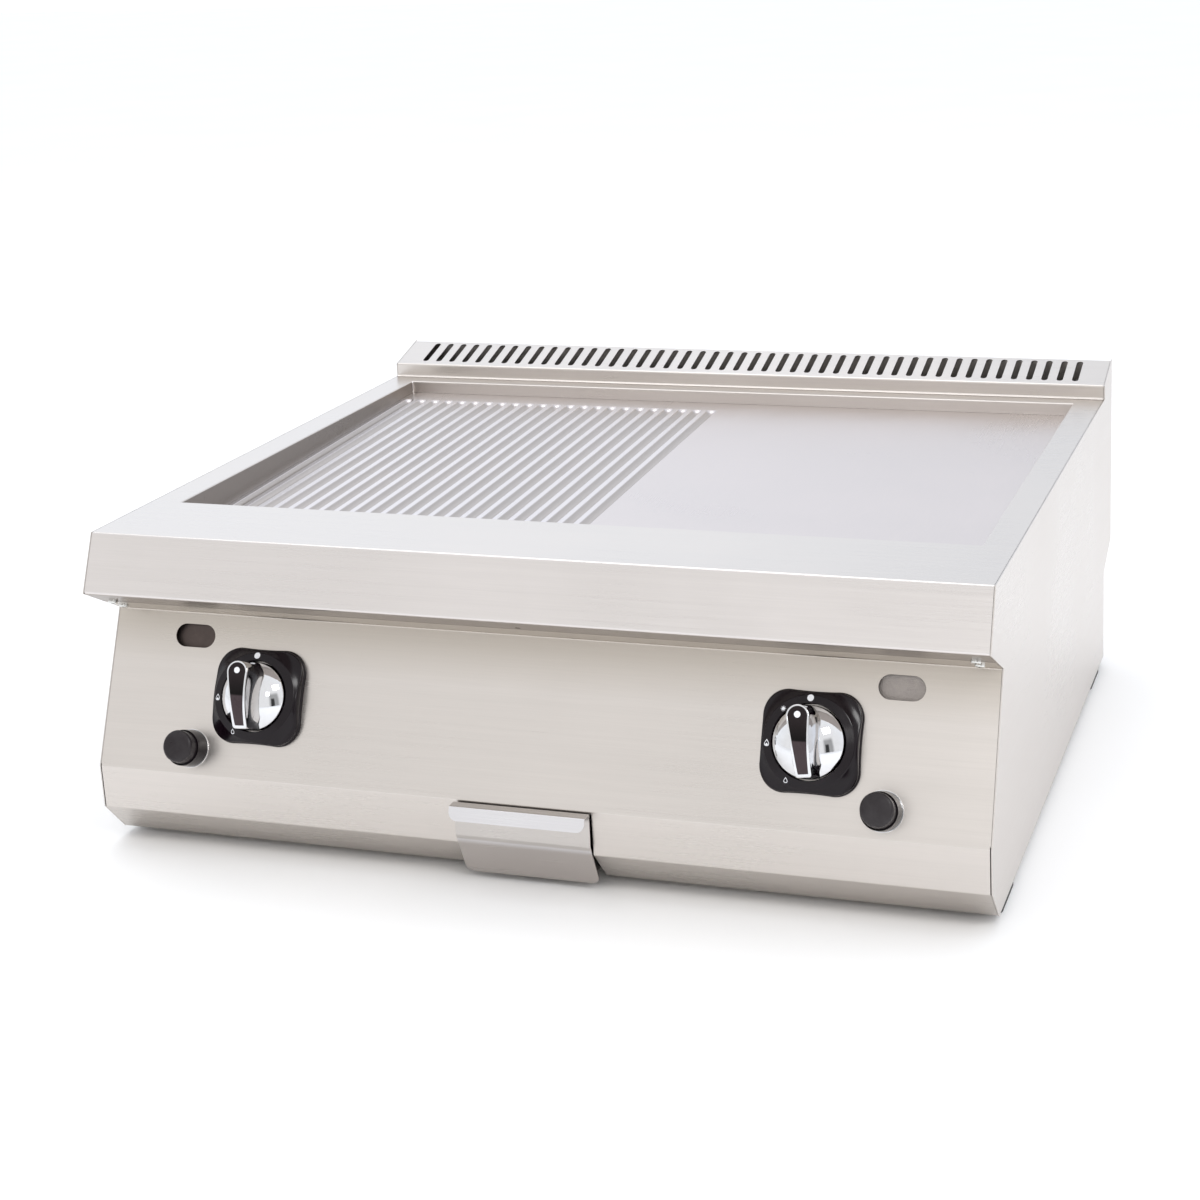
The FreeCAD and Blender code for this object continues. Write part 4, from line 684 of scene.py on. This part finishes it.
def round_outline(radius, count=32):
    turns = [2 * math.pi * i / count for i in range(count)]
    return [(radius * math.sin(a), radius * math.cos(a)) for a in turns]


MARKS = (
    ("off", (-1.0, 35.4), round_outline(2.75), None),
    ("spark", (-22.8, 25.2), star(8, 2.7, 1.05), None),
    ("high", (-34.6, -3.0), drop(3.1, 2.9), drop(2.2, 2.0, -0.15)),
    ("high_core", (-34.6, -4.2), drop(1.5, 1.0), None),
    ("low", (-16.6, -31.6), drop(2.4, 2.4), drop(1.65, 1.6, -0.15)),
)


# ------------------------------------------------------------------ small pieces of the cabinet
def make_block(name, size, centre, matrix, look):
    points = [
        (centre[0] + sx * size[0] / 2, centre[1] + sy * size[1] / 2, centre[2] + sz * size[2] / 2)
        for sx in (-1, 1) for sy in (-1, 1) for sz in (-1, 1)
    ]
    faces = [(0, 1, 3, 2), (4, 6, 7, 5), (0, 4, 5, 1), (2, 3, 7, 6), (0, 2, 6, 4), (1, 5, 7, 3)]
    make_piece(name, points, faces, matrix, look, "cabinet", False)


def make_details():
    """Plates behind the sight holes and the weld in the well's rear left corner."""
    for side, x, back, look in (("left", -319.5, 5.0, "shade"), ("right", 319.5, 4.0, "sight")):
        size = (54.0, 36.0, 0.8)
        make_block("sight_plate_" + side, size, (0, 0, -1.6 - back), on_panel(x, 121.3), look)
    bead = Matrix.Translation((-0.3700, 0.2922, 0.0)) @ Matrix.Scale(MM, 4)
    points, faces = turned([(1.0, 272.0), (1.1, 277.0), (0.9, 282.0), (1.1, 287.4), (0.01, 288.2)], 16)
    make_piece("well_weld", points, faces, bead, "weld", "cabinet")


# ------------------------------------------------------------------ igniter cap
IGNITERS = {"left": -311.0, "right": 311.0}
IGNITER_V = 22.5
CAP_LEAN = 0.13     # the soft cap sits a little upwards on its stem
COLLAR_TOP = 16.0


def make_igniter(side):
    """Soft push cap: slightly domed face, rounded edge, tapered wall, stem behind."""
    edge = [(13.9 - 3.0 * (1 - math.sin(math.radians(a))), 27.0 - 3.0 * (1 - math.cos(math.radians(a))))
            for a in range(0, 91, 10)]
    profile = [(0.01, 28.0), (3.0, 27.93), (6.0, 27.7), (8.5, 27.4)] + edge
    profile += [(14.2, 18.0), (14.6, 10.0), (14.7, 7.9)]
    profile += [(14.3, 7.9), (5.0, 7.9), (5.0, -15.9), (0.01, -15.9)]
    points, faces = turned(profile, 72)
    points = [(u, v + CAP_LEAN * max(0.0, w - COLLAR_TOP), w) for u, v, w in points]
    place = on_panel(IGNITERS[side], IGNITER_V)
    body = "igniter_" + side
    cap = make_piece("push_cap_" + side, points, faces, place, "black_matte", body)
    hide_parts("igniter_button_" + side)


def dress(obj, look):
    obj.data.materials.clear()
    obj.data.materials.append(LOOKS[look])


def dress_nodes():
    for part in frame["record"]["subparts"]:
        dress(nodes[part["node"]], NODE_LOOKS.get(part["node"], part["material_slot"]))


# ------------------------------------------------------------------ studio
def make_floor():
    s = Shader("studio_floor", (0.95, 0.95, 0.95), 0.0, 0.75)
    tone = s.span(s.noise(3.0, 3.0, 0.5), 0.3, 0.7, 0.0, 1.0)
    s.link(s.mix(tone, (0.94, 0.935, 0.93), (0.96, 0.955, 0.95)), s.shader.inputs["Base Color"])
    mesh = bpy.data.meshes.new("floor")
    reach = 14.0
    corners = [(-reach, -reach, 0), (reach, -reach, 0), (reach, reach, 0), (-reach, reach, 0)]
    mesh.from_pydata(corners, [], [(0, 1, 2, 3)])
    mesh.materials.append(s.material)
    floor = bpy.data.objects.new("floor", mesh)
    scene.collection.objects.link(floor)


def make_world():
    """White room: brightest behind and above the object, with a dim tall figure in front on the right."""
    world = bpy.data.worlds.new("studio")
    world.use_nodes = True
    scene.world = world
    tree = world.node_tree
    back = tree.nodes["Background"]

    def add(kind, **settings):
        node = tree.nodes.new(kind)
        for key, value in settings.items():
            setattr(node, key, value)
        return node

    def span(value, low, high, to_low, to_high):
        node = add("ShaderNodeMapRange", interpolation_type="SMOOTHSTEP")
        for socket, number in zip(node.inputs[1:5], (low, high, to_low, to_high)):
            socket.default_value = number
        tree.links.new(value, node.inputs["Value"])
        return node.outputs["Result"]

    def math_node(operation, a, b=0.0):
        node = add("ShaderNodeMath", operation=operation)
        for socket, value in zip(node.inputs, (a, b)):
            if isinstance(value, float):
                socket.default_value = value
            else:
                tree.links.new(value, socket)
        return node.outputs["Value"]

    split = add("ShaderNodeSeparateXYZ")
    tree.links.new(add("ShaderNodeTexCoord").outputs["Generated"], split.inputs[0])
    x, y, z = split.outputs
    ramp = add("ShaderNodeValToRGB")
    stops = ramp.color_ramp.elements
    stops[0].position, stops[0].color = 0.15, (1.00, 1.00, 1.00, 1)
    stops[1].position, stops[1].color = 0.85, (1.17, 1.23, 1.32, 1)
    tree.links.new(span(y, -1.0, 1.0, 0.0, 1.0), ramp.inputs["Fac"])
    behind = span(y, 0.0, 0.5, 0.0, 1.0)
    dimmer = math_node("MULTIPLY", behind, span(x, -0.5, -0.05, 0.0, 0.16))
    turn = math_node("ARCTAN2", x, math_node("MULTIPLY", y, -1.0))
    figure = span(math_node("ABSOLUTE", math_node("SUBTRACT", turn, 0.72)), 0.13, 0.24, 1.0, 0.0)
    figure = math_node("MULTIPLY", figure, span(z, 0.40, 0.54, 1.0, 0.0))
    legs = span(math_node("ABSOLUTE", math_node("SUBTRACT", turn, 0.66)), 0.05, 0.09, 1.0, 0.0)
    legs = math_node("MULTIPLY", legs, span(z, 0.26, 0.33, 1.0, 0.0))
    dim = math_node("ADD", math_node("MULTIPLY", figure, 0.55), math_node("MULTIPLY", legs, 0.4))
    level = math_node("SUBTRACT", 1.0, math_node("ADD", dim, dimmer))
    tree.links.new(ramp.outputs["Color"], back.inputs["Color"])
    tree.links.new(level, back.inputs["Strength"])


def make_light(name, place, target, size, power):
    data = bpy.data.lights.new(name, "AREA")
    data.shape = "RECTANGLE"
    data.size, data.size_y = size
    data.energy = power
    light = bpy.data.objects.new(name, data)
    scene.collection.objects.link(light)
    light.location = place
    light.rotation_euler = (Vector(target) - Vector(place)).to_track_quat("-Z", "Y").to_euler()


make_camera()
make_world()
make_floor()
make_light("key", (1.85, -1.95, 2.5), (0, 0, 0.15), (0.9, 0.7), 24)
make_light("flash", (0.85, -2.5, 1.5), (0, -0.3, 0.15), (0.4, 0.4), 4)
make_light("top", (-0.6, 0.6, 3.0), (0, 0, 0.2), (2.4, 2.0), 20)
dress_nodes()
for side in ("left", "right"):
    make_knob(side)
    make_bezel(side)
    make_igniter(side)
make_details()
